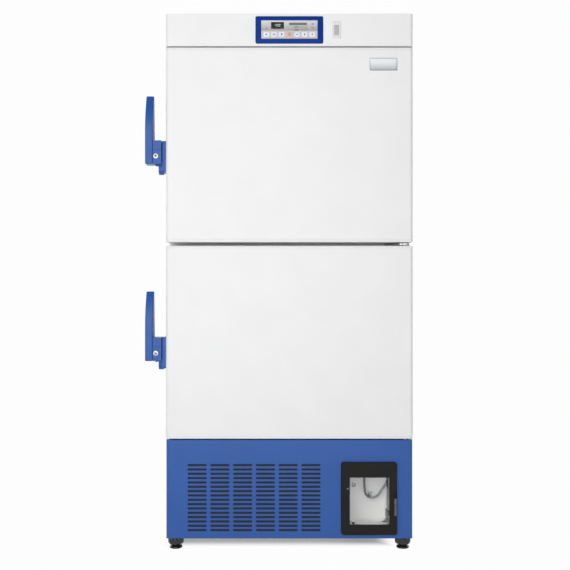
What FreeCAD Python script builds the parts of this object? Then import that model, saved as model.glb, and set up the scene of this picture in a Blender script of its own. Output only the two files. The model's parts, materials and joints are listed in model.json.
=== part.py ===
"""Two-door upright laboratory freezer, about 500 litres, for storage at minus 40 degrees Celsius.

Everything is in millimetres. While it is modelled, X runs across from the middle of the cabinet,
Y runs back from the plane of the door fronts, and Z runs up from the floor. On writing, the whole
freezer is moved so that its origin is the middle of its footprint, on the floor.
"""
import FreeCAD, Part
import math
import os

V = FreeCAD.Vector

# Overall size
WIDTH = 870.0
DEPTH = 850.0
SKIRT_CLEARANCE = 42.0  # floor to the lower edge of the base panel and the side sheets
BASE_HEIGHT = 347.0
BASE_TO_DOOR = 5.0
LOWER_DOOR_HEIGHT = 679.0
DOOR_TO_DOOR = 12.0
UPPER_DOOR_HEIGHT = 685.0
DOOR_TO_FASCIA = 4.0
FASCIA_HEIGHT = 114.0
FASCIA_FLOOR_INSET = 30.0
FASCIA_FLOOR_DEPTH = 40.0

# Sheets and insulation
SHEET = 1.2
EDGE_RADIUS = 10.0  # vertical front edges of the doors, the fascia and the base panel
CASING_RADIUS = 8.0
SIDE_WALL = 105.0
BACK_WALL = 100.0
ROOF_WALL = 160.0
FLOOR_WALL = 76.0
MULLION = 80.0
FRAME_THICKNESS = 3.0
LINER = 2.0
LINER_RADIUS = 22.0

PANEL_RIB_WIDTH = 28.0
PANEL_RIB_END = 90.0

# Doors
DOOR_THICKNESS = 92.0
DOOR_CAP = 8.0
CAP_EDGE = 2.5
SKIN_RETURN = 24.0
DOOR_LINER = 2.5
DYKE_DEPTH = 42.0
DYKE_GAP = 19.0  # from the mouth of the chamber to the raised part of the door liner
DYKE_DRAFT = 6.0
DYKE_RECESS = 7.0
DYKE_MARGIN = 55.0
DYKE_CORNER = 10.0
LINER_LAP = 4.0
GASKET_GAP = 14.0
GASKET_WIDTH = 18.0
GASKET_SIDE_INSET = 30.0
GASKET_END_INSET = 8.0
GASKET_CLEARANCE = 0.3
GASKET_FOLD = 3.0

# Hinges
HINGE_SIDE = 26.0  # pin centre in from the hinge edge of the door
HINGE_BACK = 28.0  # pin centre behind the door front
HINGE_PIN_RADIUS = 6.0
HINGE_PIN_REACH = 22.0
HINGE_PLATE = 3.0
HINGE_ARM_WIDTH = 34.0
MIDDLE_HINGE_PLATE = 5.0
MIDDLE_HINGE_LENGTH = 92.0
RUNNING_CLEARANCE = 0.08
HINGE_BOSS = 14.0  # half the side of the square boss in a door's end cap

# Shelves
SHELVES_PER_CHAMBER = 2
SHELF_SHEET = 1.5
SHELF_LIP = 18.0
SHELF_COLUMNS = 4
SHELF_SIDE_GAP = 9.0
SHELF_FRONT_GAP = 58.0
SHELF_BACK_GAP = 24.0
RAIL_WIDTH = 24.0
RAIL_DEPTH = 6.0
RAIL_END_GAP = 22.0
RAIL_SLOT_PITCH = 180.0
RAIL_SLOT_WIDTH = 6.0
RAIL_SLOT_HEIGHT = 16.0
RAIL_INSET = 80.0  # from the end of a shelf to the middle of a rail
SHELF_SLOT_WIDTH = 12.0
SHELF_SLOT_LENGTH = 150.0
CLIP_REACH = 22.0
CLIP_WIDTH = 16.0
CLIP_THICKNESS = 3.0
CLIP_DROP = 12.0

# Fascia, control panel and data port
CONTROL_DROP = 58.0  # top of the cabinet to the middle of the control panel
BEZEL_SIDE = 20.5  # from the front plate to the outer edge of the bezel
BEZEL_RISE = 16.2
BEZEL_PROUD = 9.0
BEZEL_EDGE = 3.0
BEZEL_LIP = 3.5
OVERLAY_HEIGHT = 63.6
OVERLAY_THICKNESS = 2.0
OVERLAY_RECESS = 3.2
TUB_WALL = 2.0
TUB_DEPTH = 14.0
LEDGE = 4.0
DISPLAY_WIDTH = 45.0
DISPLAY_HEIGHT = 24.0
DISPLAY_SIDE = 34.5  # left edge of the overlay to the display
DISPLAY_TOP = 5.5
KEY_COUNT = 7
KEY_WIDTH = 20.0
KEY_HEIGHT = 17.0
KEY_PITCH = 26.8
KEY_MARGIN = 4.7  # from the outer key pitch to the end of the front plate
KEY_RISE = 14.4  # lower edge of the overlay to the middle of the keys
KEY_PROUD = 1.6
KEY_TRAVEL = 0.8
KEY_CLEARANCE = 0.3
KEY_FLANGE = 1.2
KEY_CORNER = 2.5
PORT_GAP = 31.5  # from the bezel to the data port
PORT_WIDTH = 31.0
PORT_HEIGHT = 60.0
PORT_PROUD = 2.5
PORT_MOUTH_WIDTH = 16.0
PORT_MOUTH_HEIGHT = 34.0
PORT_COVER_PIN = 1.2  # radius of the rolled lower edge of the flap
PORT_DEPTH = 12.0
SMALL_PIN = 0.8
FINGER_NOTCH = 8.0

# Blank plate on the upper door
PLATE_INSET = 104.4  # from the hinge edge of the door to the middle of the plate
PLATE_DROP = 60.0
PLATE_WIDTH = 97.0
PLATE_HEIGHT = 44.0
PLATE_PROUD = 2.4
PLATE_RIM = 3.0

# Base panel and louvres
BASE_SETBACK = 10.0
BASE_FLANGE = 14.0
LOUVRE_COLUMNS = 6
LOUVRE_ROWS = 16
LOUVRE_LENGTH = 67.0
LOUVRE_HEIGHT = 7.6
LOUVRE_PITCH_X = 80.2
LOUVRE_PITCH_Z = 15.26
LOUVRE_INSET = 110.2  # from the left side to the middle of the first column
LOUVRE_FIRST_Z = 71.5

# Chart recorder bay
BAY_INSET = 155.0  # from the right side to the middle of the bay
BAY_WIDTH = 196.0
BAY_HEIGHT = 254.0
BAY_FLOOR = 57.3
BAY_RADIUS = 8.0
BAY_FLANGE = 2.5
BAY_WALL = 3.0
BAY_TUB_WIDTH = 150.0
BAY_TUB_HEIGHT = 228.0
BAY_TUB_DEPTH = 120.0
BAY_DOOR_GAP = 0.5
BAY_DOOR_THICKNESS = 10.0
BAY_DOOR_EDGE = 3.2
BAY_PIN = 1.5
BAY_EYE = 2.8
LUG_HEIGHT = 16.0
LUG_INSET = 34.0
WINDOW_WIDTH = 139.0
WINDOW_HEIGHT = 166.5
WINDOW_RISE = 35.2  # lower edge of the recorder door to the window
WINDOW_SHIFT = 1.8
PANE_THICKNESS = 2.5
PANE_OVERLAP = 4.0
PANE_SET_IN = 1.0
TRAY_RIM = 16.0
TRAY_WALL = 2.0
TRAY_RADIUS = 26.0
TRAY_KNOB = 6.0
TRAY_KNOB_IN = 27.0
TRAY_KNOB_DROP = 66.0
LATCH_WIDTH = 9.5
LATCH_HEIGHT = 60.0
LATCH_RISE = 67.6
LATCH_TRAVEL = 12.0
LATCH_DEPTH = 6.0
LATCH_WALL = 1.2
LATCH_POCKET = 12.0  # free length of the recess above the catch at the top of its travel
LATCH_PROUD = 0.4
LATCH_GROOVES = 5
LATCH_GROOVE = 2.5

# Sensor lead that hangs in the recorder bay, as X, Y, Z points
LEAD_DIAMETER = 8.0
LEAD_EASE = 0.45  # share of the shorter run that a bend takes up
LEAD_ROUTE = [
    (270.0, 96, 298.3),
    (270.6, 96, 186),
    (282.8, 96, 169),
    (302.6, 96, 163),
    (321.4, 96, 171),
    (339.4, 96, 202),
    (355, 96, 221),
]

# Side handles, measured out from the side of the door and up from the lower end of the lever
HANDLE_REACH = 73.0
UPPER_HANDLE_Z = 1361.0
LOWER_HANDLE_Z = 667.0
ARM_WIDTH = 27.0
ARM_HEIGHT = 239.0
ARM_FRONT = 4.0
ARM_ROOT_DEPTH = 60.0
ARM_TIP_DEPTH = 14.0
ARM_TIP_BACK = 49.0
ARM_STRAIGHT = 0.64  # share of the grip's height that stands upright in front
ARM_FRONT_BEND = 160.0
ARM_BACK_BEND = 60.0
ARM_CORNER = 8.0
BLOCK_HEIGHT = 83.0
BLOCK_BACK = 62.0
BASE_PLATE = 14.0
BASE_PLATE_FRONT = 18.0
BASE_PLATE_BACK = 80.0
BASE_PLATE_DROP = 27.0
LUG_WIDTH = 15.0
LUG_DROP = 33.0
LUG_RADIUS = 13.0
LUG_CLEARANCE = 2.0
PLATE_CORNER = 4.0
SIDE_CLEARANCE = 1.5
PIVOT_Y = 32.0
PIVOT_Z = 8.0
PIVOT_RADIUS = 5.0
PIN_REACH = 46.0
PIN_END = 4.0
FRONT_WALL = 9.0
LOCK_X = 35.0
LOCK_Z = 28.0
LOCK_FACE_RADIUS = 10.0
LOCK_RADIUS = 8.0
LOCK_LENGTH = 30.0
LOCK_PROUD = 1.8
LOCK_GAP = 0.15
CLAW_HEIGHT = 17.0
ROLLER_RADIUS = 8.0
ROLLER_Y = 130.0
ROLLER_GAP = 1.0
ROLLER_WIDTH = 15.0
STRIKE_PLATE = 3.0
STRIKE_FRONT = 20.0
STRIKE_BACK = 34.0
STRIKE_BELOW = 34.0
STRIKE_ABOVE = 26.0

# Chassis, feet and rear wheels
CHASSIS_RISE = 64.0
CHASSIS_SHEET = 3.0
CHASSIS_FLANGE = 30.0
FOOT_INSET = 31.0
FOOT_Y = 48.0
FOOT_STEM_RADIUS = 8.0
FOOT_STEM_TOP = 96.0
FOOT_PAD_RADIUS = 22.5
FOOT_PAD_HEIGHT = 13.0
KNOB_RADIUS = 28.0
KNOB_TOP = 41.0
KNOB_LOBES = 8
KNOB_LOBE = 4.0  # depth of the grooves between the lobes
FOOT_BOSS_RADIUS = 15.0
FOOT_BOSS_DROP = 8.0
FOOT_TRAVEL = 4.0
WHEEL_RADIUS = 25.0
WHEEL_WIDTH = 22.0
WHEEL_INSET = 65.0
WHEEL_Y = 770.0
WHEEL_AXLE_RADIUS = 5.0
FORK_CHEEK = 3.0
FORK_GAP = 1.0
FORK_DROP = 9.0

# Refrigeration
CONDENSER_X = -120.0
CONDENSER_WIDTH = 430.0
CONDENSER_HEIGHT = 236.0
CONDENSER_DEPTH = 46.0
CONDENSER_Y = 64.0
CONDENSER_PLATE = 2.0
CONDENSER_FINS = 18
CONDENSER_FIN_DEPTH = 12.0
FAN_RADIUS = 96.0
FAN_HUB_RADIUS = 30.0
FAN_BLADES = 5
FAN_SHAFT_RADIUS = 4.0
FAN_DEPTH = 34.0
FAN_OVERLAP = 6.0
FAN_SHAFT_LENGTH = 22.0
BLADE_CHORD = 68.0
BLADE_THICKNESS = 2.4
BLADE_PITCH = 22.0
ARM_BAR = 8.0
MOTOR_RADIUS = 38.0
MOTOR_LENGTH = 62.0
COMPRESSOR_X = -190.0
COMPRESSOR_Y = 560.0
COMPRESSOR_HEIGHT = 215.0
COMPRESSOR_RADIUS = 92.0
COMPRESSOR_FOOT = 14.0
SHELL_TAPER = 32.0
SHELL_FOOT_RADIUS = 77.0
SHELL_TOP_RADIUS = 57.0
TERMINAL_WIDTH = 52.0
TERMINAL_HEIGHT = 54.0
TERMINAL_RISE = 24.0
TERMINAL_DEPTH = 30.0  # how far it stands out of the shell
TUBE_RADIUS = 4.0
TUBE_GAP = 36.0  # from the side of the condenser to the upright stretch of the line

# Rear service cover and mains inlet
COVER_SLOTS = 7
COVER_SLOT_LENGTH = 130.0
COVER_SLOT_HEIGHT = 8.0
COVER_SLOT_PITCH = 28.0
COVER_SLOT_RISE = 60.0
COVER_SLOT_COLUMNS = (-250.0, -60.0, 130.0)
INLET_INSET = 105.0
INLET_Z = 150.0
INLET_WIDTH = 48.0
INLET_HEIGHT = 28.0
INLET_RIM = 5.0
INLET_DEPTH = 16.0
BOX_WIDTH = 150.0
BOX_DEPTH = 164.0
BOX_HEIGHT = 153.0
BOX_GAP = 24.0

# Levels that follow from the sizes above
BASE_TOP = SKIRT_CLEARANCE + BASE_HEIGHT
LOWER_DOOR_Z = BASE_TOP + BASE_TO_DOOR
LOWER_DOOR_TOP = LOWER_DOOR_Z + LOWER_DOOR_HEIGHT
UPPER_DOOR_Z = LOWER_DOOR_TOP + DOOR_TO_DOOR
UPPER_DOOR_TOP = UPPER_DOOR_Z + UPPER_DOOR_HEIGHT
FASCIA_Z = UPPER_DOOR_TOP + DOOR_TO_FASCIA
HEIGHT = FASCIA_Z + FASCIA_HEIGHT
FACE_Y = DOOR_THICKNESS + GASKET_GAP
SIDE_X = WIDTH / 2
MULLION_Z = LOWER_DOOR_TOP + DOOR_TO_DOOR / 2
CHAMBER_X = SIDE_X - SIDE_WALL
CHAMBER_BACK = DEPTH - BACK_WALL
LOWER_CHAMBER = (BASE_TOP + FLOOR_WALL, MULLION_Z - MULLION / 2)
UPPER_CHAMBER = (MULLION_Z + MULLION / 2, HEIGHT - ROOF_WALL)
HINGE_X = SIDE_X - HINGE_SIDE
PLATE_X = SIDE_X - PLATE_INSET
LOUVRE_FIRST_X = LOUVRE_INSET - SIDE_X
BAY_X = SIDE_X - BAY_INSET
FOOT_X = SIDE_X - FOOT_INSET
WHEEL_X = SIDE_X - WHEEL_INSET
INLET_X = SIDE_X - INLET_INSET
CONTROL_Z = HEIGHT - CONTROL_DROP
OVERLAY_WIDTH = KEY_COUNT * KEY_PITCH + 2 * KEY_MARGIN
CONTROL_WIDTH = OVERLAY_WIDTH + 2 * BEZEL_SIDE
CONTROL_HEIGHT = OVERLAY_HEIGHT + 2 * BEZEL_RISE
OVERLAY_Y = -BEZEL_PROUD + OVERLAY_RECESS
OVERLAY_X0 = -OVERLAY_WIDTH / 2
PORT_X = CONTROL_WIDTH / 2 + PORT_GAP + PORT_WIDTH / 2
OVERLAY_Z0 = CONTROL_Z - OVERLAY_HEIGHT / 2
BAY_DOOR_BACK = BASE_SETBACK - BAY_FLANGE - BAY_DOOR_GAP
BAY_DOOR_FRONT = BAY_DOOR_BACK - BAY_DOOR_THICKNESS
BAY_HINGE_X = BAY_X - BAY_WIDTH / 2 + BAY_DOOR_THICKNESS / 2
BAY_HINGE_Y = (BAY_DOOR_FRONT + BAY_DOOR_BACK) / 2
BAY_MIDDLE = BAY_FLOOR + BAY_HEIGHT / 2
FAN_Y = CONDENSER_Y + CONDENSER_DEPTH + CONDENSER_PLATE + FAN_OVERLAP
FAN_Z = CHASSIS_RISE + CHASSIS_SHEET + CONDENSER_HEIGHT / 2
ORIGIN_SHIFT = V(HANDLE_REACH / 2, -(DEPTH - BEZEL_PROUD) / 2, 0)

PLANES = {
    "xy": lambda u, v, w: V(u, v, w),
    "xz": lambda u, v, w: V(u, w, v),
    "yz": lambda u, v, w: V(w, u, v),
}


# Shape helpers
def box(x0, x1, y0, y1, z0, z1):
    """Block between two corners."""
    return Part.makeBox(x1 - x0, y1 - y0, z1 - z0, V(x0, y0, z0))


def cylinder(radius, start, end):
    """Round bar from one point to another."""
    along = V(*end) - V(*start)
    return Part.makeCylinder(radius, along.Length, V(*start), along)


def corner_arc(before, corner, after, radius):
    """Start, middle and end of the arc that rounds one corner of an outline."""
    to_before = (before - corner).normalize()
    to_after = (after - corner).normalize()
    half = to_before.getAngle(to_after) / 2
    reach = radius / math.tan(half)
    bisector = (to_before + to_after).normalize()
    middle = corner + bisector * (radius / math.sin(half) - radius)
    return corner + to_before * reach, middle, corner + to_after * reach


def outline(corners, plane, level):
    """Closed wire through corners given as (u, v) or (u, v, radius)."""
    points = [PLANES[plane](c[0], c[1], level) for c in corners]
    radii = [c[2] if len(c) > 2 else 0 for c in corners]
    count = len(points)
    arcs = []
    for i in range(count):
        if radii[i] > 0:
            arcs.append(corner_arc(points[i - 1], points[i], points[(i + 1) % count], radii[i]))
        else:
            arcs.append((points[i], None, points[i]))
    edges = []
    for i in range(count):
        start, middle, end = arcs[i]
        if middle is not None:
            edges.append(Part.Arc(start, middle, end).toShape())
        following = arcs[(i + 1) % count][0]
        if end.distanceToPoint(following) > 1e-6:
            edges.append(Part.LineSegment(end, following).toShape())
    return Part.Wire(edges)


def prism(corners, plane, start, end):
    """Outline extruded square to its plane, from one level to another."""
    face = Part.Face(outline(corners, plane, start))
    return face.extrude(PLANES[plane](0, 0, end - start))


def frustum(corners_a, level_a, corners_b, level_b, plane):
    """Straight-sided solid between two outlines with the same number of corners."""
    return Part.makeLoft([outline(corners_a, plane, level_a), outline(corners_b, plane, level_b)], True, True)


def rectangle(u0, u1, v0, v1, radius=0.0):
    """Corners of a rectangle with equally rounded corners."""
    return [(u0, v0, radius), (u1, v0, radius), (u1, v1, radius), (u0, v1, radius)]


def clipped(u0, u1, v0, v1, cut):
    """Corners of a rectangle with each corner cut off at 45 degrees."""
    return [
        (u0 + cut, v0), (u1 - cut, v0), (u1, v0 + cut), (u1, v1 - cut),
        (u1 - cut, v1), (u0 + cut, v1), (u0, v1 - cut), (u0, v0 + cut),
    ]


def slab(x0, x1, z0, z1, radius, y0, y1):
    """Upright plate with rounded corners, facing forward."""
    return prism(rectangle(x0, x1, z0, z1, radius), "xz", y0, y1)


def rounded_front(half_width, radius, y0, y1, z0, z1):
    """Block whose two upright front edges are rounded."""
    corners = [
        (-half_width, y1),
        (-half_width, y0, radius),
        (half_width, y0, radius),
        (half_width, y1),
    ]
    return prism(corners, "xy", z0, z1)


def group(*solids):
    """Separate solids written together as one node."""
    return Part.makeCompound(list(solids))


def bent_tube(points, radius, bends):
    """Solid tube along straight runs joined by tangent arcs, and the length of its middle line."""
    pieces = []
    length = 0
    start = points[0]
    for before, corner, after, bend in zip(points, points[1:], points[2:], bends):
        arc_start, middle, arc_end = corner_arc(before, corner, after, bend)
        turn = math.pi - (before - corner).getAngle(after - corner)
        pieces.append(cylinder(radius, start, arc_start))
        across = (middle - corner).normalize()
        centre = corner + across * (bend / math.cos(turn / 2))
        axis = (arc_start - centre).cross(arc_end - centre)
        disc = Part.Face(Part.Wire([Part.makeCircle(radius, arc_start, corner - before)]))
        pieces.append(disc.revolve(centre, axis, math.degrees(turn)))
        length += start.distanceToPoint(arc_start) + bend * turn
        start = arc_end
    pieces.append(cylinder(radius, start, points[-1]))
    length += start.distanceToPoint(points[-1])
    return pieces[0].fuse(pieces[1:]), length


# Cabinet
def casing_block(inset, y0, y1, z0):
    """Block of the cabinet with its two rounded roof edges, drawn in by an inset."""
    corners = [
        (-SIDE_X + inset, z0),
        (SIDE_X - inset, z0),
        (SIDE_X - inset, HEIGHT - inset, CASING_RADIUS - inset),
        (-SIDE_X + inset, HEIGHT - inset, CASING_RADIUS - inset),
    ]
    return prism(corners, "xz", y0, y1)


def outer_casing():
    """One sheet bent over the sides and the roof."""
    outside = casing_block(0, FACE_Y, DEPTH, SKIRT_CLEARANCE)
    return outside.cut(casing_block(SHEET, FACE_Y, DEPTH, SKIRT_CLEARANCE))


def liner_block(chamber, inset, y0, y1):
    """Space of one chamber, grown by an inset on every side."""
    low, high = chamber
    radius = LINER_RADIUS + inset
    return slab(-CHAMBER_X - inset, CHAMBER_X + inset, low - inset, high + inset, radius, y0, y1)


def front_frame():
    """Flat face of the cabinet that the gaskets close on."""
    plate = casing_block(SHEET, FACE_Y, FACE_Y + FRAME_THICKNESS, BASE_TOP)
    for chamber in (LOWER_CHAMBER, UPPER_CHAMBER):
        plate = plate.cut(liner_block(chamber, LINER, FACE_Y, FACE_Y + FRAME_THICKNESS))
    return plate


def insulation():
    """Foam between the casing and the two liners."""
    foam = casing_block(SHEET, FACE_Y + FRAME_THICKNESS, DEPTH - SHEET, BASE_TOP)
    for chamber in (LOWER_CHAMBER, UPPER_CHAMBER):
        foam = foam.cut(liner_block(chamber, LINER, FACE_Y, CHAMBER_BACK + LINER))
    return foam


def chamber_liner(chamber):
    """Open-fronted box that lines one chamber."""
    outside = liner_block(chamber, LINER, FACE_Y, CHAMBER_BACK + LINER)
    return outside.cut(liner_block(chamber, 0, FACE_Y, CHAMBER_BACK))


def back_panel():
    """Rear sheet over the insulated part, with shallow pressed ribs."""
    panel = casing_block(SHEET, DEPTH - SHEET, DEPTH, BASE_TOP)
    low, high = BASE_TOP + PANEL_RIB_END, HEIGHT - PANEL_RIB_END
    for x in (-WIDTH / 4, 0.0, WIDTH / 4):
        half = PANEL_RIB_WIDTH / 2
        panel = panel.cut(box(x - half, x + half, DEPTH - SHEET / 2, DEPTH, low, high))
    return panel


def service_cover():
    """Removable rear cover of the machine compartment, with air slots and the inlet cut-out."""
    cover = box(-SIDE_X + SHEET, SIDE_X - SHEET, DEPTH - SHEET, DEPTH, CHASSIS_RISE, BASE_TOP)
    first = CHASSIS_RISE + COVER_SLOT_RISE
    slots = []
    for x in COVER_SLOT_COLUMNS:
        for row in range(COVER_SLOTS):
            z = first + row * COVER_SLOT_PITCH
            slots.append(box(x - COVER_SLOT_LENGTH / 2, x + COVER_SLOT_LENGTH / 2,
                             DEPTH - 2 * SHEET, DEPTH + SHEET,
                             z - COVER_SLOT_HEIGHT / 2, z + COVER_SLOT_HEIGHT / 2))
    slots.append(box(INLET_X - INLET_WIDTH / 2, INLET_X + INLET_WIDTH / 2, DEPTH - 2 * SHEET, DEPTH + SHEET,
                     INLET_Z - INLET_HEIGHT / 2, INLET_Z + INLET_HEIGHT / 2))
    return cover.cut(Part.makeCompound(slots))


# Shelves
def shelf_levels(chamber):
    """Heights of the shelf tops in one chamber."""
    low, high = chamber
    step = (high - low) / (SHELVES_PER_CHAMBER + 1)
    return [low + step * (i + 1) for i in range(SHELVES_PER_CHAMBER)]


def shelf(level):
    """Folded sheet tray with a lip all round and two rows of air slots."""
    half = CHAMBER_X - SHELF_SIDE_GAP
    front = FACE_Y + SHELF_FRONT_GAP
    back = CHAMBER_BACK - SHELF_BACK_GAP
    tray = box(-half, half, front, back, level - SHELF_LIP, level)
    hollow = box(-half + SHELF_SHEET, half - SHELF_SHEET, front + SHELF_SHEET, back - SHELF_SHEET,
                 level - SHELF_LIP, level - SHELF_SHEET)
    slots = []
    pitch = 2 * half / SHELF_COLUMNS
    for i in range(SHELF_COLUMNS):
        x = -half + pitch * (i + 0.5)
        for y in (front + (back - front) * 0.3, front + (back - front) * 0.7):
            slots.append(box(x - SHELF_SLOT_WIDTH / 2, x + SHELF_SLOT_WIDTH / 2,
                             y - SHELF_SLOT_LENGTH / 2, y + SHELF_SLOT_LENGTH / 2,
                             level - 2 * SHELF_SHEET, level + SHELF_SHEET))
    return tray.cut(hollow).cut(Part.makeCompound(slots))


def shelf_rail(x_wall, inward, y, chamber):
    """Slotted upright strip screwed to a side wall of the liner."""
    low, high = chamber[0] + RAIL_END_GAP, chamber[1] - RAIL_END_GAP
    x0, x1 = sorted((x_wall, x_wall + inward * RAIL_DEPTH))
    strip = box(x0, x1, y - RAIL_WIDTH / 2, y + RAIL_WIDTH / 2, low, high)
    hollow0, hollow1 = sorted((x_wall, x_wall + inward * (RAIL_DEPTH - SHELF_SHEET)))
    strip = strip.cut(box(hollow0, hollow1,
                          y - RAIL_WIDTH / 2 + SHELF_SHEET, y + RAIL_WIDTH / 2 - SHELF_SHEET, low, high))
    slots = []
    z = low + RAIL_SLOT_PITCH / 2
    half, rise = RAIL_SLOT_WIDTH / 2, RAIL_SLOT_HEIGHT / 2
    while z + rise < high:
        slots.append(box(x0 - 1, x1 + 1, y - half, y + half, z - rise, z + rise))
        z += RAIL_SLOT_PITCH
    return strip.cut(Part.makeCompound(slots))


def shelf_clip(x_wall, inward, y, level):
    """Small bracket on a rail, under the lip of a shelf."""
    near, far = x_wall + inward * RAIL_DEPTH, x_wall + inward * (RAIL_DEPTH + CLIP_REACH)
    seat = level - SHELF_LIP
    corners = [(near, seat), (far, seat), (far, seat - CLIP_THICKNESS),
               (near + inward * (CLIP_THICKNESS + 1), seat - CLIP_DROP), (near, seat - CLIP_DROP)]
    return prism(corners, "xz", y - CLIP_WIDTH / 2, y + CLIP_WIDTH / 2)


def shelf_rails():
    """Eight rails with their sixteen shelf clips."""
    pieces = []
    front = FACE_Y + SHELF_FRONT_GAP + RAIL_INSET
    back = CHAMBER_BACK - SHELF_BACK_GAP - RAIL_INSET
    for chamber in (LOWER_CHAMBER, UPPER_CHAMBER):
        for x_wall, inward in ((-CHAMBER_X, 1), (CHAMBER_X, -1)):
            for y in (front, back):
                pieces.append(shelf_rail(x_wall, inward, y, chamber))
                pieces.extend(shelf_clip(x_wall, inward, y, z) for z in shelf_levels(chamber))
    return group(*pieces)


def shelves():
    """All the shelves of both chambers."""
    return group(*[shelf(z) for chamber in (LOWER_CHAMBER, UPPER_CHAMBER) for z in shelf_levels(chamber)])


# Fascia and controls
def fascia_cover():
    """Hollow sheet cover over the control box, with cut-outs for the controls and the port."""
    outside = rounded_front(SIDE_X, EDGE_RADIUS, 0, FACE_Y, FASCIA_Z, HEIGHT)
    hollow = rounded_front(SIDE_X - SHEET, EDGE_RADIUS - SHEET, SHEET, FACE_Y,
                           FASCIA_Z + SHEET, HEIGHT - SHEET)
    cover = outside.cut(hollow)
    cover = cover.cut(box(-SIDE_X + FASCIA_FLOOR_INSET, SIDE_X - FASCIA_FLOOR_INSET,
                          FASCIA_FLOOR_DEPTH, FACE_Y,
                          FASCIA_Z, FASCIA_Z + SHEET))
    cover = cover.cut(cylinder(HINGE_PIN_RADIUS + 3,
                               (HINGE_X, HINGE_BACK, FASCIA_Z - 1), (HINGE_X, HINGE_BACK, FASCIA_Z + 5)))
    half = OVERLAY_WIDTH / 2 + TUB_WALL
    rise = OVERLAY_HEIGHT / 2 + TUB_WALL
    cover = cover.cut(box(-half, half, -1, 2 * SHEET, CONTROL_Z - rise, CONTROL_Z + rise))
    port_half, port_rise = port_tub_size()
    return cover.cut(box(PORT_X - port_half, PORT_X + port_half, -1, 2 * SHEET,
                         CONTROL_Z - port_rise, CONTROL_Z + port_rise))


def control_bezel():
    """Sloping frame round the control panel, with a tub behind that carries the keypad."""
    half, rise = CONTROL_WIDTH / 2, CONTROL_HEIGHT / 2
    inner_half, inner_rise = OVERLAY_WIDTH / 2 + BEZEL_LIP, OVERLAY_HEIGHT / 2 + BEZEL_LIP
    low, high = CONTROL_Z - rise, CONTROL_Z + rise
    rim = box(-half, half, -BEZEL_EDGE, 0, low, high)
    slope = frustum(
        rectangle(-half, half, low, high), -BEZEL_EDGE,
        rectangle(-inner_half, inner_half, CONTROL_Z - inner_rise, CONTROL_Z + inner_rise),
        -BEZEL_PROUD, "xz")
    tub_half, tub_rise = OVERLAY_WIDTH / 2 + TUB_WALL, OVERLAY_HEIGHT / 2 + TUB_WALL
    tub = box(-tub_half, tub_half, 0, TUB_DEPTH, CONTROL_Z - tub_rise, CONTROL_Z + tub_rise)
    frame = rim.fuse([slope, tub])
    seat = OVERLAY_Y + OVERLAY_THICKNESS
    half, low, high = OVERLAY_WIDTH / 2, OVERLAY_Z0, OVERLAY_Z0 + OVERLAY_HEIGHT
    frame = frame.cut(box(-half, half, -2 * BEZEL_PROUD, seat, low, high))
    inside = TUB_DEPTH - TUB_WALL
    return frame.cut(box(-half + LEDGE, half - LEDGE, seat, inside, low + LEDGE, high - LEDGE))


def key_x(number):
    """Middle of a key, counted from the left."""
    return (number - (KEY_COUNT - 1) / 2) * KEY_PITCH


def key_window(x, grow, y0, y1):
    """Outline of a key with cut corners, grown by a clearance."""
    z = OVERLAY_Z0 + KEY_RISE
    half, rise = KEY_WIDTH / 2 + grow, KEY_HEIGHT / 2 + grow
    return prism(clipped(x - half, x + half, z - rise, z + rise, KEY_CORNER), "xz", y0, y1)


def display_outline():
    """Left, right, lower and upper edges of the display."""
    left = OVERLAY_X0 + DISPLAY_SIDE
    high = OVERLAY_Z0 + OVERLAY_HEIGHT - DISPLAY_TOP
    return left, left + DISPLAY_WIDTH, high - DISPLAY_HEIGHT, high


def control_overlay():
    """Front plate of the keypad and the switch board behind it."""
    back = OVERLAY_Y + OVERLAY_THICKNESS
    plate = box(OVERLAY_X0, -OVERLAY_X0, OVERLAY_Y, back, OVERLAY_Z0, OVERLAY_Z0 + OVERLAY_HEIGHT)
    left, right, low, high = display_outline()
    plate = plate.cut(box(left, right, OVERLAY_Y, back, low, high))
    for i in range(KEY_COUNT):
        plate = plate.cut(key_window(key_x(i), KEY_CLEARANCE, OVERLAY_Y, back))
    board = box(OVERLAY_X0 + LEDGE, -OVERLAY_X0 - LEDGE, TUB_DEPTH - TUB_WALL - 1.6, TUB_DEPTH - TUB_WALL,
                OVERLAY_Z0 + LEDGE, OVERLAY_Z0 + OVERLAY_HEIGHT - LEDGE)
    return group(plate, board)


def display_window():
    """Dark pane over the read-out, with its module down to the board."""
    left, right, low, high = display_outline()
    pane = box(left, right, OVERLAY_Y - 0.2, OVERLAY_Y + OVERLAY_THICKNESS, low, high)
    module = box(left + 3, right - 3, OVERLAY_Y + OVERLAY_THICKNESS, TUB_DEPTH - TUB_WALL - 1.6,
                 low + 3, high - 3)
    return pane.fuse(module)


def control_key(number):
    """Key cap held behind the front plate by its flange, with a plunger to the board."""
    x = key_x(number)
    z = OVERLAY_Z0 + KEY_RISE
    flange_y = OVERLAY_Y + OVERLAY_THICKNESS + KEY_CLEARANCE
    cap = key_window(x, 0, OVERLAY_Y - KEY_PROUD, flange_y)
    flange = box(x - KEY_WIDTH / 2 - KEY_FLANGE, x + KEY_WIDTH / 2 + KEY_FLANGE, flange_y, flange_y + 1.2,
                 z - KEY_HEIGHT / 2 - KEY_CLEARANCE, z + KEY_HEIGHT / 2 + KEY_FLANGE)
    plunger_end = TUB_DEPTH - TUB_WALL - 1.6 - KEY_TRAVEL - 0.15
    plunger = box(x - 2.5, x + 2.5, flange_y + 1.2, plunger_end, z - 2.5, z + 2.5)
    return cap.fuse([flange, plunger])


def port_tub_size():
    """Half width and half height of the tub behind the port plate."""
    return PORT_MOUTH_WIDTH / 2 + TUB_WALL, PORT_MOUTH_HEIGHT / 2 + TUB_WALL


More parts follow.
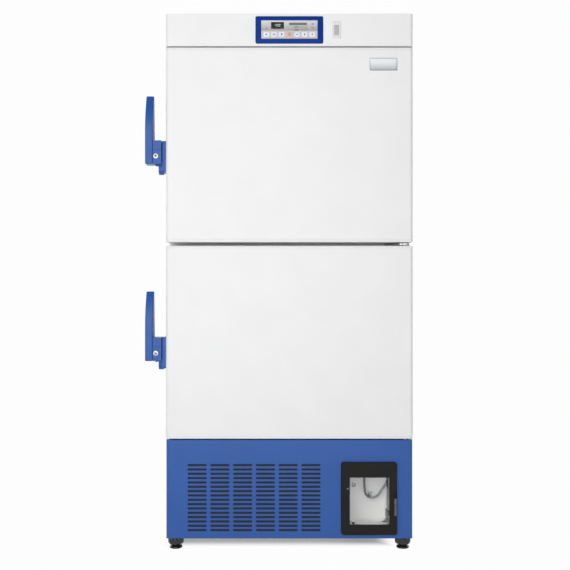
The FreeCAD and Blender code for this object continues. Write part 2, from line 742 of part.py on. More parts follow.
def port_plate():
    """Surround of the data port, with its tub, the pin of its flap and the metal socket in it."""
    half, rise = PORT_WIDTH / 2, PORT_HEIGHT / 2
    plate = box(PORT_X - half, PORT_X + half, -PORT_PROUD, 0, CONTROL_Z - rise, CONTROL_Z + rise)
    tub_half, tub_rise = port_tub_size()
    tub = box(PORT_X - tub_half, PORT_X + tub_half, 0, PORT_DEPTH,
              CONTROL_Z - tub_rise, CONTROL_Z + tub_rise)
    mouth_half, mouth_rise = PORT_MOUTH_WIDTH / 2, PORT_MOUTH_HEIGHT / 2
    plate = plate.fuse(tub)
    inside = PORT_DEPTH - TUB_WALL
    plate = plate.cut(box(PORT_X - mouth_half, PORT_X + mouth_half, -2 * PORT_PROUD, inside,
                          CONTROL_Z - mouth_rise, CONTROL_Z + mouth_rise))
    notch = FINGER_NOTCH / 2
    plate = plate.cut(box(PORT_X - notch, PORT_X + notch, -2 * PORT_PROUD, -PORT_COVER_PIN / 2,
                          CONTROL_Z + mouth_rise, CONTROL_Z + mouth_rise + notch))
    plate = plate.fuse(port_bar(SMALL_PIN, mouth_half))
    socket = box(PORT_X - 2.6, PORT_X + 2.6, 3, inside, CONTROL_Z - 6.5, CONTROL_Z + 6.5)
    socket = socket.cut(box(PORT_X - 2.1, PORT_X + 2.1, 3, inside - 1, CONTROL_Z - 6, CONTROL_Z + 6))
    return group(plate, socket)


def port_bar(radius, half):
    """Bar on the axis of the flap of the data port."""
    z = port_pin_level()
    return cylinder(radius, (PORT_X - half, -PORT_COVER_PIN, z), (PORT_X + half, -PORT_COVER_PIN, z))


def port_pin_level():
    """Height of the pin that the flap of the data port turns on."""
    return CONTROL_Z - PORT_MOUTH_HEIGHT / 2 + PORT_COVER_PIN + KEY_CLEARANCE


def port_cover():
    """Flap over the data port, which swings down on a pin along its lower edge."""
    half = PORT_MOUTH_WIDTH / 2 - KEY_CLEARANCE
    top = CONTROL_Z + PORT_MOUTH_HEIGHT / 2 - KEY_CLEARANCE
    flap = box(PORT_X - half, PORT_X + half, -2 * PORT_COVER_PIN, 0, port_pin_level(), top)
    flap = flap.fuse(port_bar(PORT_COVER_PIN, half))
    return flap.cut(port_bar(SMALL_PIN + RUNNING_CLEARANCE, half))


def nameplate():
    """Blank raised plate on the upper door."""
    half, rise = PLATE_WIDTH / 2, PLATE_HEIGHT / 2
    z = UPPER_DOOR_TOP - PLATE_DROP
    base = box(PLATE_X - half, PLATE_X + half, -PLATE_PROUD / 2, 0, z - rise, z + rise)
    edge = PLATE_RIM
    return base.fuse(frustum(
        rectangle(PLATE_X - half, PLATE_X + half, z - rise, z + rise), -PLATE_PROUD / 2,
        rectangle(PLATE_X - half + edge, PLATE_X + half - edge, z - rise + edge, z + rise - edge),
        -PLATE_PROUD, "xz"))


# Base panel and recorder bay
def bay_slab(grow, y0, y1, radius):
    """Upright plate with the outline of the recorder bay, grown or shrunk."""
    return slab(BAY_X - BAY_WIDTH / 2 - grow, BAY_X + BAY_WIDTH / 2 + grow, BAY_FLOOR - grow,
                BAY_FLOOR + BAY_HEIGHT + grow, radius, y0, y1)


def tub_slab(grow, y0, y1, radius=0.0):
    """Block with the outline of the recorder tub, grown or shrunk."""
    return slab(BAY_X - BAY_TUB_WIDTH / 2 - grow, BAY_X + BAY_TUB_WIDTH / 2 + grow,
                BAY_MIDDLE - BAY_TUB_HEIGHT / 2 - grow, BAY_MIDDLE + BAY_TUB_HEIGHT / 2 + grow,
                radius, y0, y1)


def louvre(x, z):
    """Cutter for one air slot."""
    half, rise = LOUVRE_LENGTH / 2, LOUVRE_HEIGHT / 2
    return box(x - half, x + half, BASE_SETBACK - 1, BASE_SETBACK + 2 * SHEET, z - rise, z + rise)


def base_panel():
    """Bent front cover of the machine compartment, with the air slots and the recorder cut-out."""
    outside = rounded_front(SIDE_X, EDGE_RADIUS, BASE_SETBACK, FACE_Y, SKIRT_CLEARANCE, BASE_TOP)
    hollow = rounded_front(SIDE_X - SHEET, EDGE_RADIUS - SHEET, BASE_SETBACK + SHEET, FACE_Y,
                           SKIRT_CLEARANCE, BASE_TOP - SHEET)
    panel = outside.cut(hollow)
    panel = panel.cut(box(-SIDE_X + FASCIA_FLOOR_INSET, SIDE_X - FASCIA_FLOOR_INSET,
                          BASE_SETBACK + BASE_FLANGE, FACE_Y,
                          BASE_TOP - SHEET, BASE_TOP))
    panel = panel.cut(cylinder(HINGE_PIN_RADIUS + 3,
                               (HINGE_X, HINGE_BACK, BASE_TOP - 5), (HINGE_X, HINGE_BACK, BASE_TOP + 1)))
    slots = [
        louvre(LOUVRE_FIRST_X + LOUVRE_PITCH_X * column, LOUVRE_FIRST_Z + LOUVRE_PITCH_Z * row)
        for column in range(LOUVRE_COLUMNS)
        for row in range(LOUVRE_ROWS)
    ]
    panel = panel.cut(Part.makeCompound(slots))
    return panel.cut(tub_slab(BAY_WALL, BASE_SETBACK - 1, BASE_SETBACK + 2 * SHEET))


def hinge_lug_levels():
    """Heights of the two hinge lugs of the recorder door."""
    return BAY_FLOOR + LUG_INSET, BAY_FLOOR + BAY_HEIGHT - LUG_INSET


def recorder_housing():
    """Moulded tub behind the base panel, with its flange and its two hinge lugs."""
    face = BASE_SETBACK - BAY_FLANGE
    flange = bay_slab(0, face, BASE_SETBACK, BAY_RADIUS)
    back = BASE_SETBACK + BAY_TUB_DEPTH
    housing = flange.fuse(tub_slab(BAY_WALL, BASE_SETBACK, back + BAY_WALL)).cut(tub_slab(0, 0, back))
    half = LUG_HEIGHT / 2
    for z in hinge_lug_levels():
        web = box(BAY_HINGE_X - BAY_PIN, BAY_HINGE_X + BAY_PIN, BAY_HINGE_Y, face, z - half, z + half)
        housing = housing.fuse([web, bay_bar(BAY_EYE, z, half)])
        housing = housing.cut(bay_bar(BAY_PIN + RUNNING_CLEARANCE, z, half))
    return housing


def bay_bar(radius, z, half):
    """Upright bar on the hinge axis of the recorder door, centred on a height."""
    return cylinder(radius, (BAY_HINGE_X, BAY_HINGE_Y, z - half), (BAY_HINGE_X, BAY_HINGE_Y, z + half))


def recorder_tray():
    """White moulded tray in the back of the tub, with a small round knob."""
    back = BASE_SETBACK + BAY_TUB_DEPTH
    outside = tub_slab(-BAY_DOOR_GAP, back - TRAY_RIM, back, TRAY_RADIUS)
    hollow = tub_slab(-BAY_DOOR_GAP - TRAY_WALL, back - TRAY_RIM, back - TRAY_WALL, TRAY_RADIUS - TRAY_WALL)
    knob_x = BAY_X - BAY_TUB_WIDTH / 2 + TRAY_KNOB_IN
    knob_z = BAY_MIDDLE + BAY_TUB_HEIGHT / 2 - TRAY_KNOB_DROP
    face = back - TRAY_WALL
    knob = cylinder(TRAY_KNOB, (knob_x, face - TRAY_KNOB, knob_z), (knob_x, face, knob_z))
    return outside.cut(hollow).fuse(knob)


def recorder_door_frame():
    """Hinged frame of the recorder window, with hidden hinge pins and the latch recess."""
    left, right = BAY_X - BAY_WIDTH / 2, BAY_X + BAY_WIDTH / 2
    low, high = BAY_FLOOR, BAY_FLOOR + BAY_HEIGHT
    front, back, cut = BAY_DOOR_FRONT, BAY_DOOR_BACK, BAY_DOOR_EDGE
    section = [(left + cut, front), (right - 1, front), (right, front + 1), (right, back), (left + cut, back),
               (left, back - cut), (left, front + cut)]
    frame = prism(section, "xy", low, high)
    frame = frame.common(bay_slab(0, front, back, BAY_RADIUS))
    x0 = BAY_X + WINDOW_SHIFT - WINDOW_WIDTH / 2
    z0 = low + WINDOW_RISE
    sight = box(x0, x0 + WINDOW_WIDTH, front - 1, back + 1, z0, z0 + WINDOW_HEIGHT)
    frame = frame.cut(sight).cut(pane_block(KEY_CLEARANCE, back - PANE_THICKNESS - PANE_SET_IN, back))
    half = LUG_HEIGHT / 2 + 1
    reach = BAY_EYE + KEY_CLEARANCE + BAY_DOOR_GAP
    for z in hinge_lug_levels():
        notch = box(left - 1, BAY_HINGE_X + reach, BAY_HINGE_Y - reach, back + 1, z - half, z + half)
        frame = frame.cut(notch).fuse(bay_bar(BAY_PIN, z, half))
    z1 = low + LATCH_RISE
    recess = box(right - LATCH_WIDTH - KEY_CLEARANCE, right - LATCH_WALL, front - 1, front + LATCH_DEPTH,
                 z1 - KEY_CLEARANCE, z1 + LATCH_HEIGHT + LATCH_TRAVEL + LATCH_POCKET)
    return frame.cut(recess)


def pane_block(grow, y0, y1):
    """Outline of the window pane in its rebate."""
    half, rise = WINDOW_WIDTH / 2 + PANE_OVERLAP + grow, WINDOW_HEIGHT / 2 + PANE_OVERLAP + grow
    x, z = BAY_X + WINDOW_SHIFT, BAY_FLOOR + WINDOW_RISE + WINDOW_HEIGHT / 2
    return box(x - half, x + half, y0, y1, z - rise, z + rise)


def recorder_window():
    """Clear pane in the back of the recorder door."""
    return pane_block(0, BAY_DOOR_BACK - PANE_THICKNESS - PANE_SET_IN, BAY_DOOR_BACK - PANE_SET_IN)


def recorder_latch():
    """Sliding catch in the edge of the recorder door, with a ribbed thumb face."""
    right = BAY_X + BAY_WIDTH / 2 - LATCH_WALL - KEY_CLEARANCE
    left = BAY_X + BAY_WIDTH / 2 - LATCH_WIDTH
    low = BAY_FLOOR + LATCH_RISE
    face = BAY_DOOR_FRONT - LATCH_PROUD
    slide = box(left, right, face, BAY_DOOR_FRONT + LATCH_DEPTH, low, low + LATCH_HEIGHT)
    grooves = []
    for i in range(LATCH_GROOVES):
        z = low + LATCH_HEIGHT / 2 + (i - (LATCH_GROOVES - 1) / 2) * 2 * LATCH_GROOVE
        grooves.append(box(left - 1, right + 1, face, face + LATCH_PROUD + 0.6, z, z + LATCH_GROOVE))
    return slide.cut(Part.makeCompound(grooves))


def recorder_lead():
    """Sensor lead from the roof of the tub to its right wall, bent as gently as its runs allow."""
    points = [V(*p) for p in LEAD_ROUTE]
    bends = []
    for before, corner, after in zip(points, points[1:], points[2:]):
        turn = math.pi - (before - corner).getAngle(after - corner)
        shorter = min(before.distanceToPoint(corner), after.distanceToPoint(corner))
        bends.append(LEAD_EASE * shorter / math.tan(turn / 2))
    lead, length = bent_tube(points, LEAD_DIAMETER / 2, bends)
    expected = length * math.pi * LEAD_DIAMETER ** 2 / 4
    print("lead length", round(length, 1), "radii", [round(b, 1) for b in bends],
          "volume ratio", round(lead.Volume / expected, 4))
    return lead


# Doors
def door_skin(z0, height):
    """Steel front and sides of a door, with narrow returns behind."""
    low, high = z0 + DOOR_CAP, z0 + height - DOOR_CAP
    outside = rounded_front(SIDE_X, EDGE_RADIUS, 0, DOOR_THICKNESS, low, high)
    hollow = rounded_front(SIDE_X - SHEET, EDGE_RADIUS - SHEET, SHEET, DOOR_THICKNESS - SHEET, low, high)
    skin = outside.cut(hollow)
    return skin.cut(box(-SIDE_X + SKIN_RETURN, SIDE_X - SKIN_RETURN,
                        DOOR_THICKNESS - SHEET, DOOR_THICKNESS, low, high))


def hinge_bar(z0, z1, radius):
    """Upright bar on the hinge axis of the doors."""
    return cylinder(radius, (HINGE_X, HINGE_BACK, z0), (HINGE_X, HINGE_BACK, z1))


def hinge_boss(z0, z1):
    """Block of an end cap round the hinge pin."""
    return box(HINGE_X - HINGE_BOSS, HINGE_X + HINGE_BOSS,
               HINGE_BACK - HINGE_BOSS, HINGE_BACK + HINGE_BOSS, z0, z1)


def door_cap(outer_z, inner_z):
    """Moulded end cap of a door with a bevelled rim and the bush for the hinge pin."""
    low, high = sorted((outer_z, inner_z))
    up = 1 if inner_z > outer_z else -1
    cap = rounded_front(SIDE_X, EDGE_RADIUS, 0, DOOR_THICKNESS, low, high)
    rim = [e for e in cap.Edges
           if abs(e.BoundBox.ZMin - outer_z) < 0.01 and abs(e.BoundBox.ZMax - outer_z) < 0.01]
    cap = cap.makeChamfer(CAP_EDGE, rim)
    boss_end = outer_z + up * (HINGE_PIN_REACH + CAP_EDGE)
    bore_end = outer_z + up * (HINGE_PIN_REACH + 1)
    bore = hinge_bar(min(outer_z, bore_end), max(outer_z, bore_end), HINGE_PIN_RADIUS + RUNNING_CLEARANCE)
    return cap.fuse(hinge_boss(min(inner_z, boss_end), max(inner_z, boss_end))).cut(bore)


def door_caps(z0, height):
    """Lower and upper end caps of one door."""
    top = z0 + height
    return group(door_cap(z0, z0 + DOOR_CAP), door_cap(top, top - DOOR_CAP))


def dyke_corners(chamber, inset):
    """Outline of the raised part of a door liner, inside the mouth of its chamber."""
    low, high = chamber
    half = CHAMBER_X - DYKE_GAP - inset
    return clipped(-half, half, low + DYKE_GAP + inset, high - DYKE_GAP - inset, DYKE_CORNER)


def door_liner(z0, height, chamber):
    """Moulded inner panel of a door, hollow behind its raised part."""
    back = DOOR_THICKNESS + DYKE_DEPTH
    lap = LINER_LAP
    plate = box(-SIDE_X + lap, SIDE_X - lap, DOOR_THICKNESS, DOOR_THICKNESS + DOOR_LINER,
                z0 + lap, z0 + height - lap)
    dyke = frustum(dyke_corners(chamber, 0), DOOR_THICKNESS, dyke_corners(chamber, DYKE_DRAFT), back, "xz")
    hollow = frustum(dyke_corners(chamber, DOOR_LINER), DOOR_THICKNESS,
                     dyke_corners(chamber, DYKE_DRAFT + DOOR_LINER), back - DOOR_LINER, "xz")
    floor = back - DYKE_RECESS
    recess = prism(dyke_corners(chamber, DYKE_MARGIN), "xz", floor, back)
    recess_back = prism(dyke_corners(chamber, DYKE_MARGIN - DOOR_LINER), "xz", floor - DOOR_LINER, back)
    return plate.fuse(dyke).cut(hollow.cut(recess_back)).cut(recess)


def door_core(z0, height, chamber):
    """Foam that fills a door between its skin, caps and liner."""
    core = rounded_front(SIDE_X - SHEET, EDGE_RADIUS - SHEET, SHEET, DOOR_THICKNESS - SHEET,
                         z0 + DOOR_CAP, z0 + height - DOOR_CAP)
    core = core.fuse(box(-SIDE_X + SKIN_RETURN, SIDE_X - SKIN_RETURN, DOOR_THICKNESS - SHEET, DOOR_THICKNESS,
                         z0 + DOOR_CAP, z0 + height - DOOR_CAP))
    boss = HINGE_PIN_REACH + CAP_EDGE
    return core.cut(hinge_boss(z0, z0 + boss)).cut(hinge_boss(z0 + height - boss, z0 + height))


def door_gasket(z0, height):
    """Magnetic seal round the back of a door, with the fold of its bellows."""
    y0, y1 = DOOR_THICKNESS + DOOR_LINER, FACE_Y - GASKET_CLEARANCE
    x = SIDE_X - GASKET_SIDE_INSET
    low, high = z0 + GASKET_END_INSET, z0 + height - GASKET_END_INSET
    w, fold = GASKET_WIDTH, GASKET_FOLD
    seal = box(-x, x, y0, y1, low, high).cut(box(-x + w, x - w, y0, y1, low + w, high - w))
    g0, g1 = (y0 + y1 - fold) / 2, (y0 + y1 + fold) / 2
    groove = box(-x, x, g0, g1, low, high)
    return seal.cut(groove.cut(box(-x + fold, x - fold, g0, g1, low + fold, high - fold)))


def hinge_brackets():
    """Top, middle and lower hinge plates with their pins."""
    x0, x1 = HINGE_X - HINGE_ARM_WIDTH / 2, HINGE_X + HINGE_ARM_WIDTH / 2 - 1
    pieces = []
    for level, up in ((FASCIA_Z + SHEET, -1), (BASE_TOP - SHEET - HINGE_PLATE, 1)):
        arm = box(x0, x1, HINGE_BACK - 14, FACE_Y, level, level + HINGE_PLATE)
        end = level + HINGE_PLATE if up > 0 else level
        tip = end + up * (HINGE_PIN_REACH + SHEET + BASE_TO_DOOR - DOOR_TO_DOOR / 2)
        pin = hinge_bar(min(end, tip), max(end, tip), HINGE_PIN_RADIUS)
        pieces.append(arm.fuse(pin))
    low = MULLION_Z - MIDDLE_HINGE_PLATE / 2
    corners = [
        (SIDE_X - MIDDLE_HINGE_LENGTH, FACE_Y),
        (SIDE_X - MIDDLE_HINGE_LENGTH, 70, 8),
        (HINGE_X - 20, HINGE_BACK - 14, 12),
        (HINGE_X + 16, HINGE_BACK - 14, 10),
        (HINGE_X + 16, FACE_Y),
    ]
    plate = prism(corners, "xy", low, low + MIDDLE_HINGE_PLATE)
    reach = HINGE_PIN_REACH - 4
    pins = hinge_bar(low - DOOR_TO_DOOR / 2 - reach, low + DOOR_TO_DOOR + reach - 1, HINGE_PIN_RADIUS)
    pieces.append(plate.fuse(pins))
    return group(*pieces)


# Side handles
def out(distance):
    """X of a point that far out from the left side of the door."""
    return -SIDE_X - distance


def handle_base(z):
    """Mounting plate on the side of the door, with the lug that carries the lever."""
    plate_corners = clipped(BASE_PLATE_FRONT, BASE_PLATE_BACK,
                            z - BASE_PLATE_DROP, z + BLOCK_HEIGHT, PLATE_CORNER)
    plate = prism(plate_corners, "yz", out(BASE_PLATE), out(0))
    top = z + PIVOT_Z + LUG_RADIUS
    lug_corners = [
        (PIVOT_Y, z - LUG_DROP, 5),
        (BASE_PLATE_BACK - 16, z - LUG_DROP, 8),
        (BASE_PLATE_BACK - 8, z + PIVOT_Z - 2),
        (BASE_PLATE_BACK - 14, top),
        (PIVOT_Y, top),
    ]
    lug = prism(lug_corners, "yz", out(BASE_PLATE + LUG_WIDTH), out(BASE_PLATE))
    base = plate.fuse([lug, pivot_bar(z, LUG_RADIUS, BASE_PLATE + LUG_WIDTH, BASE_PLATE)])
    return base.cut(pivot_bar(z, PIVOT_RADIUS, BASE_PLATE + LUG_WIDTH, PIN_END))


def pivot_bar(z, radius, outer, inner):
    """Bar across on the pivot of a handle, between two distances from the side of the door."""
    return cylinder(radius, (out(outer), PIVOT_Y, z + PIVOT_Z), (out(inner), PIVOT_Y, z + PIVOT_Z))


def handle_pin(z):
    """Pivot pin of one handle."""
    return pivot_bar(z, PIVOT_RADIUS, PIN_REACH, PIN_END)


def handle_lever(z):
    """Lever with its tall curved grip, lock block and rear claw."""
    grip_x0, grip_x1 = out(HANDLE_REACH), out(HANDLE_REACH - ARM_WIDTH)
    root_back = ARM_FRONT + ARM_ROOT_DEPTH
    top = z + ARM_HEIGHT
    grip = prism([
        (ARM_FRONT, z, ARM_CORNER),
        (root_back - ARM_CORNER, z, ARM_CORNER),
        (root_back, z + BLOCK_HEIGHT, ARM_BACK_BEND),
        (ARM_TIP_BACK, top),
        (ARM_TIP_BACK - ARM_TIP_DEPTH, top, 6),
        (ARM_FRONT, z + ARM_HEIGHT * ARM_STRAIGHT, ARM_FRONT_BEND),
    ], "yz", grip_x0, grip_x1)
    cheek_x = out(BASE_PLATE + LUG_WIDTH + SIDE_CLEARANCE)
    block_x = out(BASE_PLATE + SIDE_CLEARANCE)
    under = z + PIVOT_Z + LUG_RADIUS + LUG_CLEARANCE
    block_front, block_top = ARM_FRONT + 1, z + BLOCK_HEIGHT
    cheek = box(grip_x1, cheek_x, block_front, BLOCK_BACK, z, block_top)
    upper = box(cheek_x, block_x, block_front, BLOCK_BACK, under, block_top)
    front = box(cheek_x, block_x, block_front, block_front + FRONT_WALL, z, under)
    pivot = z + PIVOT_Z
    seat = pivot + ROLLER_RADIUS + ROLLER_GAP
    claw = prism([
        (BLOCK_BACK - 12, pivot - 4),
        (ROLLER_Y - 26, pivot - 1, 8),
        (ROLLER_Y - ROLLER_RADIUS - 4, seat),
        (ROLLER_Y + ROLLER_RADIUS + 6, seat),
        (ROLLER_Y + ROLLER_RADIUS + 6, seat + CLAW_HEIGHT - 5),
        (ROLLER_Y - 26, seat + CLAW_HEIGHT, 20),
        (BLOCK_BACK - 12, pivot + CLAW_HEIGHT + 6),
    ], "yz", grip_x1, cheek_x)
    lever = grip.fuse([cheek, upper, front, claw])
    lever = lever.cut(pivot_bar(z, PIVOT_RADIUS + RUNNING_CLEARANCE, PIN_REACH + SIDE_CLEARANCE, BASE_PLATE))
    lever = lever.cut(lock_bar(z, LOCK_RADIUS + RUNNING_CLEARANCE, ARM_FRONT, block_front + LOCK_LENGTH))
    return lever.removeSplitter()


def lock_bar(z, radius, y0, y1):
    """Round bar on the axis of a key lock."""
    return cylinder(radius, (out(LOCK_X), y0, z + LOCK_Z), (out(LOCK_X), y1, z + LOCK_Z))


def lock_barrel(z):
    """Key barrel with its face disc."""
    face = ARM_FRONT + 1
    disc = lock_bar(z, LOCK_FACE_RADIUS, face - LOCK_PROUD, face - LOCK_GAP)
    return disc.fuse(lock_bar(z, LOCK_RADIUS, face - LOCK_GAP, face + LOCK_LENGTH - 1))


def strike(z):
    """Plate on the side of the cabinet with the roller that the claw rests over."""
    pivot = z + PIVOT_Z
    plate = box(out(STRIKE_PLATE), out(0), ROLLER_Y - STRIKE_FRONT, ROLLER_Y + STRIKE_BACK,
                pivot - STRIKE_BELOW, pivot + STRIKE_ABOVE)
    near = BASE_PLATE + LUG_WIDTH
    spacer = strike_bar(z, ROLLER_RADIUS - 1, near, STRIKE_PLATE)
    roller = strike_bar(z, ROLLER_RADIUS, near + ROLLER_WIDTH, near)
    return plate.fuse([spacer, roller])


def strike_bar(z, radius, outer, inner):
    """Bar across on the axis of a strike roller."""
    return cylinder(radius, (out(outer), ROLLER_Y, z + PIVOT_Z), (out(inner), ROLLER_Y, z + PIVOT_Z))


def strike_plates():
    """Strike of each handle."""
    return group(strike(LOWER_HANDLE_Z), strike(UPPER_HANDLE_Z))


# Chassis, feet and wheels
def chassis():
    """Base pan with turned-up flanges, foot bosses, and the forks and axles of the rear wheels."""
    low, high = CHASSIS_RISE, CHASSIS_RISE + CHASSIS_SHEET
    front, back = BASE_SETBACK + EDGE_RADIUS, DEPTH - 2 * SHEET
    half, rim = SIDE_X - SHEET, CHASSIS_RISE + CHASSIS_FLANGE
    pan = box(-half, half, front, back, low, rim)
    pan = pan.cut(box(-half + CHASSIS_SHEET, half - CHASSIS_SHEET, front, back - CHASSIS_SHEET, high, rim))
    bay_half = BAY_TUB_WIDTH / 2 + BAY_WALL + BAY_DOOR_GAP
    bay_back = BASE_SETBACK + BAY_TUB_DEPTH + BAY_WALL + BAY_DOOR_GAP
    pan = pan.cut(box(BAY_X - bay_half, BAY_X + bay_half, 0, bay_back, low, rim))
    for x in (-FOOT_X, FOOT_X):
        boss = cylinder(FOOT_BOSS_RADIUS,
                        (x, FOOT_Y, KNOB_TOP + FOOT_TRAVEL), (x, FOOT_Y, FOOT_STEM_TOP - FOOT_BOSS_DROP))
        bore = cylinder(FOOT_STEM_RADIUS + RUNNING_CLEARANCE, (x, FOOT_Y, 0), (x, FOOT_Y, HEIGHT))
        pan = pan.fuse(boss).cut(bore)
    gap = WHEEL_WIDTH / 2 + FORK_GAP
    for x in (-WHEEL_X, WHEEL_X):
        for side in (-1, 1):
            near, far = sorted((x + side * gap, x + side * (gap + FORK_CHEEK)))
            reach = WHEEL_RADIUS - FORK_DROP
            cheek_corners = [
                (WHEEL_Y - reach / 2, WHEEL_RADIUS - FORK_DROP),
                (WHEEL_Y + reach / 2, WHEEL_RADIUS - FORK_DROP),
                (WHEEL_Y + WHEEL_RADIUS, low),
                (WHEEL_Y - WHEEL_RADIUS, low),
            ]
            pan = pan.fuse(prism(cheek_corners, "yz", near, far))
    return pan.cut(wheel_bar(WHEEL_AXLE_RADIUS + RUNNING_CLEARANCE, -SIDE_X, SIDE_X)).removeSplitter()


def rear_axle():
    """Axle across the back with the two transport wheels fixed on it."""
    end = WHEEL_X + WHEEL_WIDTH / 2 + FORK_GAP + FORK_CHEEK
    axle = wheel_bar(WHEEL_AXLE_RADIUS, -end, end)
    half = WHEEL_WIDTH / 2
    return axle.fuse([wheel_bar(WHEEL_RADIUS, x - half, x + half) for x in (-WHEEL_X, WHEEL_X)])


def wheel_bar(radius, x0, x1):
    """Bar on the axis of the rear wheels."""
    return cylinder(radius, (x0, WHEEL_Y, WHEEL_RADIUS), (x1, WHEEL_Y, WHEEL_RADIUS))


def levelling_foot(x):
    """Screw foot with a round pad and a lobed hand knob."""
    pad = cylinder(FOOT_PAD_RADIUS, (0, 0, 0), (0, 0, FOOT_PAD_HEIGHT))
    stem = cylinder(FOOT_STEM_RADIUS, (0, 0, KNOB_TOP), (0, 0, FOOT_STEM_TOP))
    corners = []
    for i in range(KNOB_LOBES):
        middle = 2 * math.pi * i / KNOB_LOBES
        step = math.pi / KNOB_LOBES
        for angle, radius in ((-0.5 * step, KNOB_RADIUS), (0.5 * step, KNOB_RADIUS),
                              (step, KNOB_RADIUS - KNOB_LOBE)):
            corners.append((radius * math.cos(middle + angle), radius * math.sin(middle + angle)))
    foot = pad.fuse([prism(corners, "xy", FOOT_PAD_HEIGHT, KNOB_TOP), stem])
    foot.translate(V(x, FOOT_Y, 0))
    return foot


# Machine compartment
def condenser():
    """Finned block between two end plates."""
    low = CHASSIS_RISE + CHASSIS_SHEET
    high = low + CONDENSER_HEIGHT
    x0, x1 = CONDENSER_X - CONDENSER_WIDTH / 2, CONDENSER_X + CONDENSER_WIDTH / 2
    y0, y1 = CONDENSER_Y, CONDENSER_Y + CONDENSER_DEPTH
    t = CONDENSER_PLATE
    core = box(x0 + t, x1 - t, y0 + t, y1, low + t, high - t)
    pitch = (CONDENSER_WIDTH - 2 * t) / CONDENSER_FINS
    gaps = [
        box(x0 + t + pitch * (i + 0.25), x0 + t + pitch * (i + 0.75), y0, y0 + CONDENSER_FIN_DEPTH, low, high)
        for i in range(CONDENSER_FINS)
    ]
    ends = [box(x0, x0 + t, y0, y1, low, high), box(x1 - t, x1, y0, y1, low, high)]
    return core.cut(Part.makeCompound(gaps)).fuse(ends)


def fan_shroud():
    """Shroud plate behind the condenser, with the fan motor on its three arms."""
    y0 = CONDENSER_Y + CONDENSER_DEPTH
    low = CHASSIS_RISE + CHASSIS_SHEET
    x0, x1 = CONDENSER_X - CONDENSER_WIDTH / 2, CONDENSER_X + CONDENSER_WIDTH / 2
    plate_back = y0 + CONDENSER_PLATE
    plate = box(x0, x1, y0, plate_back, low, low + CONDENSER_HEIGHT)
    shroud = plate.cut(fan_bar(FAN_RADIUS - FAN_OVERLAP, y0, plate_back))
    motor_y = FAN_Y + FAN_DEPTH + FAN_OVERLAP
    inner = FAN_RADIUS + FAN_OVERLAP
    arms = []
    for i in range(3):
        arm = box(-ARM_BAR / 2, ARM_BAR / 2, plate_back, motor_y + ARM_BAR, MOTOR_RADIUS - 2, inner + ARM_BAR)
        arm = arm.cut(box(-ARM_BAR, ARM_BAR, plate_back, motor_y, 0, inner))
        arm.rotate(V(0, 0, 0), V(0, 1, 0), 120 * i + 60)
        arm.translate(V(CONDENSER_X, 0, FAN_Z))
        arms.append(arm)
    motor = fan_bar(MOTOR_RADIUS, motor_y, motor_y + MOTOR_LENGTH)
    shaft = fan_bar(FAN_SHAFT_RADIUS + RUNNING_CLEARANCE, motor_y, motor_y + FAN_SHAFT_LENGTH)
    return shroud.fuse(arms + [motor]).cut(shaft)


def fan_bar(radius, y0, y1):
    """Bar on the axis of the fan."""
    return cylinder(radius, (CONDENSER_X, y0, FAN_Z), (CONDENSER_X, y1, FAN_Z))


def fan_blades():
    """Fan wheel with pitched blades on a hub, and its shaft."""
    end = FAN_Y + FAN_DEPTH
    blades = []
    for i in range(FAN_BLADES):
        blade = box(-BLADE_CHORD / 2, BLADE_CHORD / 2, -BLADE_THICKNESS / 2, BLADE_THICKNESS / 2,
                    FAN_HUB_RADIUS * 0.8, FAN_RADIUS - FAN_OVERLAP)
        blade.rotate(V(0, 0, 0), V(0, 0, 1), BLADE_PITCH)
        blade.translate(V(0, FAN_Y + FAN_DEPTH / 2, 0))
        blade.rotate(V(0, 0, 0), V(0, 1, 0), 360 / FAN_BLADES * i)
        blade.translate(V(CONDENSER_X, 0, FAN_Z))
        blades.append(blade)
    shaft = fan_bar(FAN_SHAFT_RADIUS, end, end + FAN_OVERLAP + FAN_SHAFT_LENGTH - 2)
    return fan_bar(FAN_HUB_RADIUS, FAN_Y, end).fuse(blades + [shaft])


def compressor():
    """Hermetic compressor on its folded feet, with its terminal box."""
    floor = CHASSIS_RISE + CHASSIS_SHEET
    r, h = COMPRESSOR_RADIUS, COMPRESSOR_FOOT
    depth = r * 0.68
    plate = box(-r, r, -depth, depth, floor + h, floor + h + CHASSIS_SHEET)
    feet = [box(x - h, x + h, -depth, depth, floor, floor + h) for x in (-r + h, r - h)]
    low, high = floor + h + CHASSIS_SHEET, floor + COMPRESSOR_HEIGHT
    waist = low + SHELL_TAPER
    shoulder = high - SHELL_TAPER
    shell = cylinder(r, (0, 0, waist), (0, 0, shoulder))
    foot_cone = Part.makeCone(SHELL_FOOT_RADIUS, r, SHELL_TAPER, V(0, 0, low))
    top_cone = Part.makeCone(r, SHELL_TOP_RADIUS, SHELL_TAPER, V(0, 0, shoulder))
    half, foot = TERMINAL_WIDTH / 2, low + TERMINAL_RISE
    terminal = box(-half, half, r * 0.76, r + TERMINAL_DEPTH, foot, foot + TERMINAL_HEIGHT)
    body = shell.fuse([foot_cone, top_cone, plate, terminal] + feet)
    body.translate(V(COMPRESSOR_X, COMPRESSOR_Y, 0))
    return body


def discharge_line():
    """Copper line from the compressor to the condenser, with mitred corners."""
    side = CONDENSER_X + CONDENSER_WIDTH / 2
    z = CHASSIS_RISE + CHASSIS_SHEET + COMPRESSOR_HEIGHT / 3
    mid_y = CONDENSER_Y + CONDENSER_DEPTH / 2
    turn = side + TUBE_GAP
    route = [V(COMPRESSOR_X + COMPRESSOR_RADIUS, COMPRESSOR_Y, z), V(turn, COMPRESSOR_Y, z),
             V(turn, mid_y, z), V(side, mid_y, z)]
    circle = Part.Wire([Part.makeCircle(TUBE_RADIUS, route[0], V(1, 0, 0))])
    return Part.makePolygon(route).makePipeShell([circle], True, False, 1)


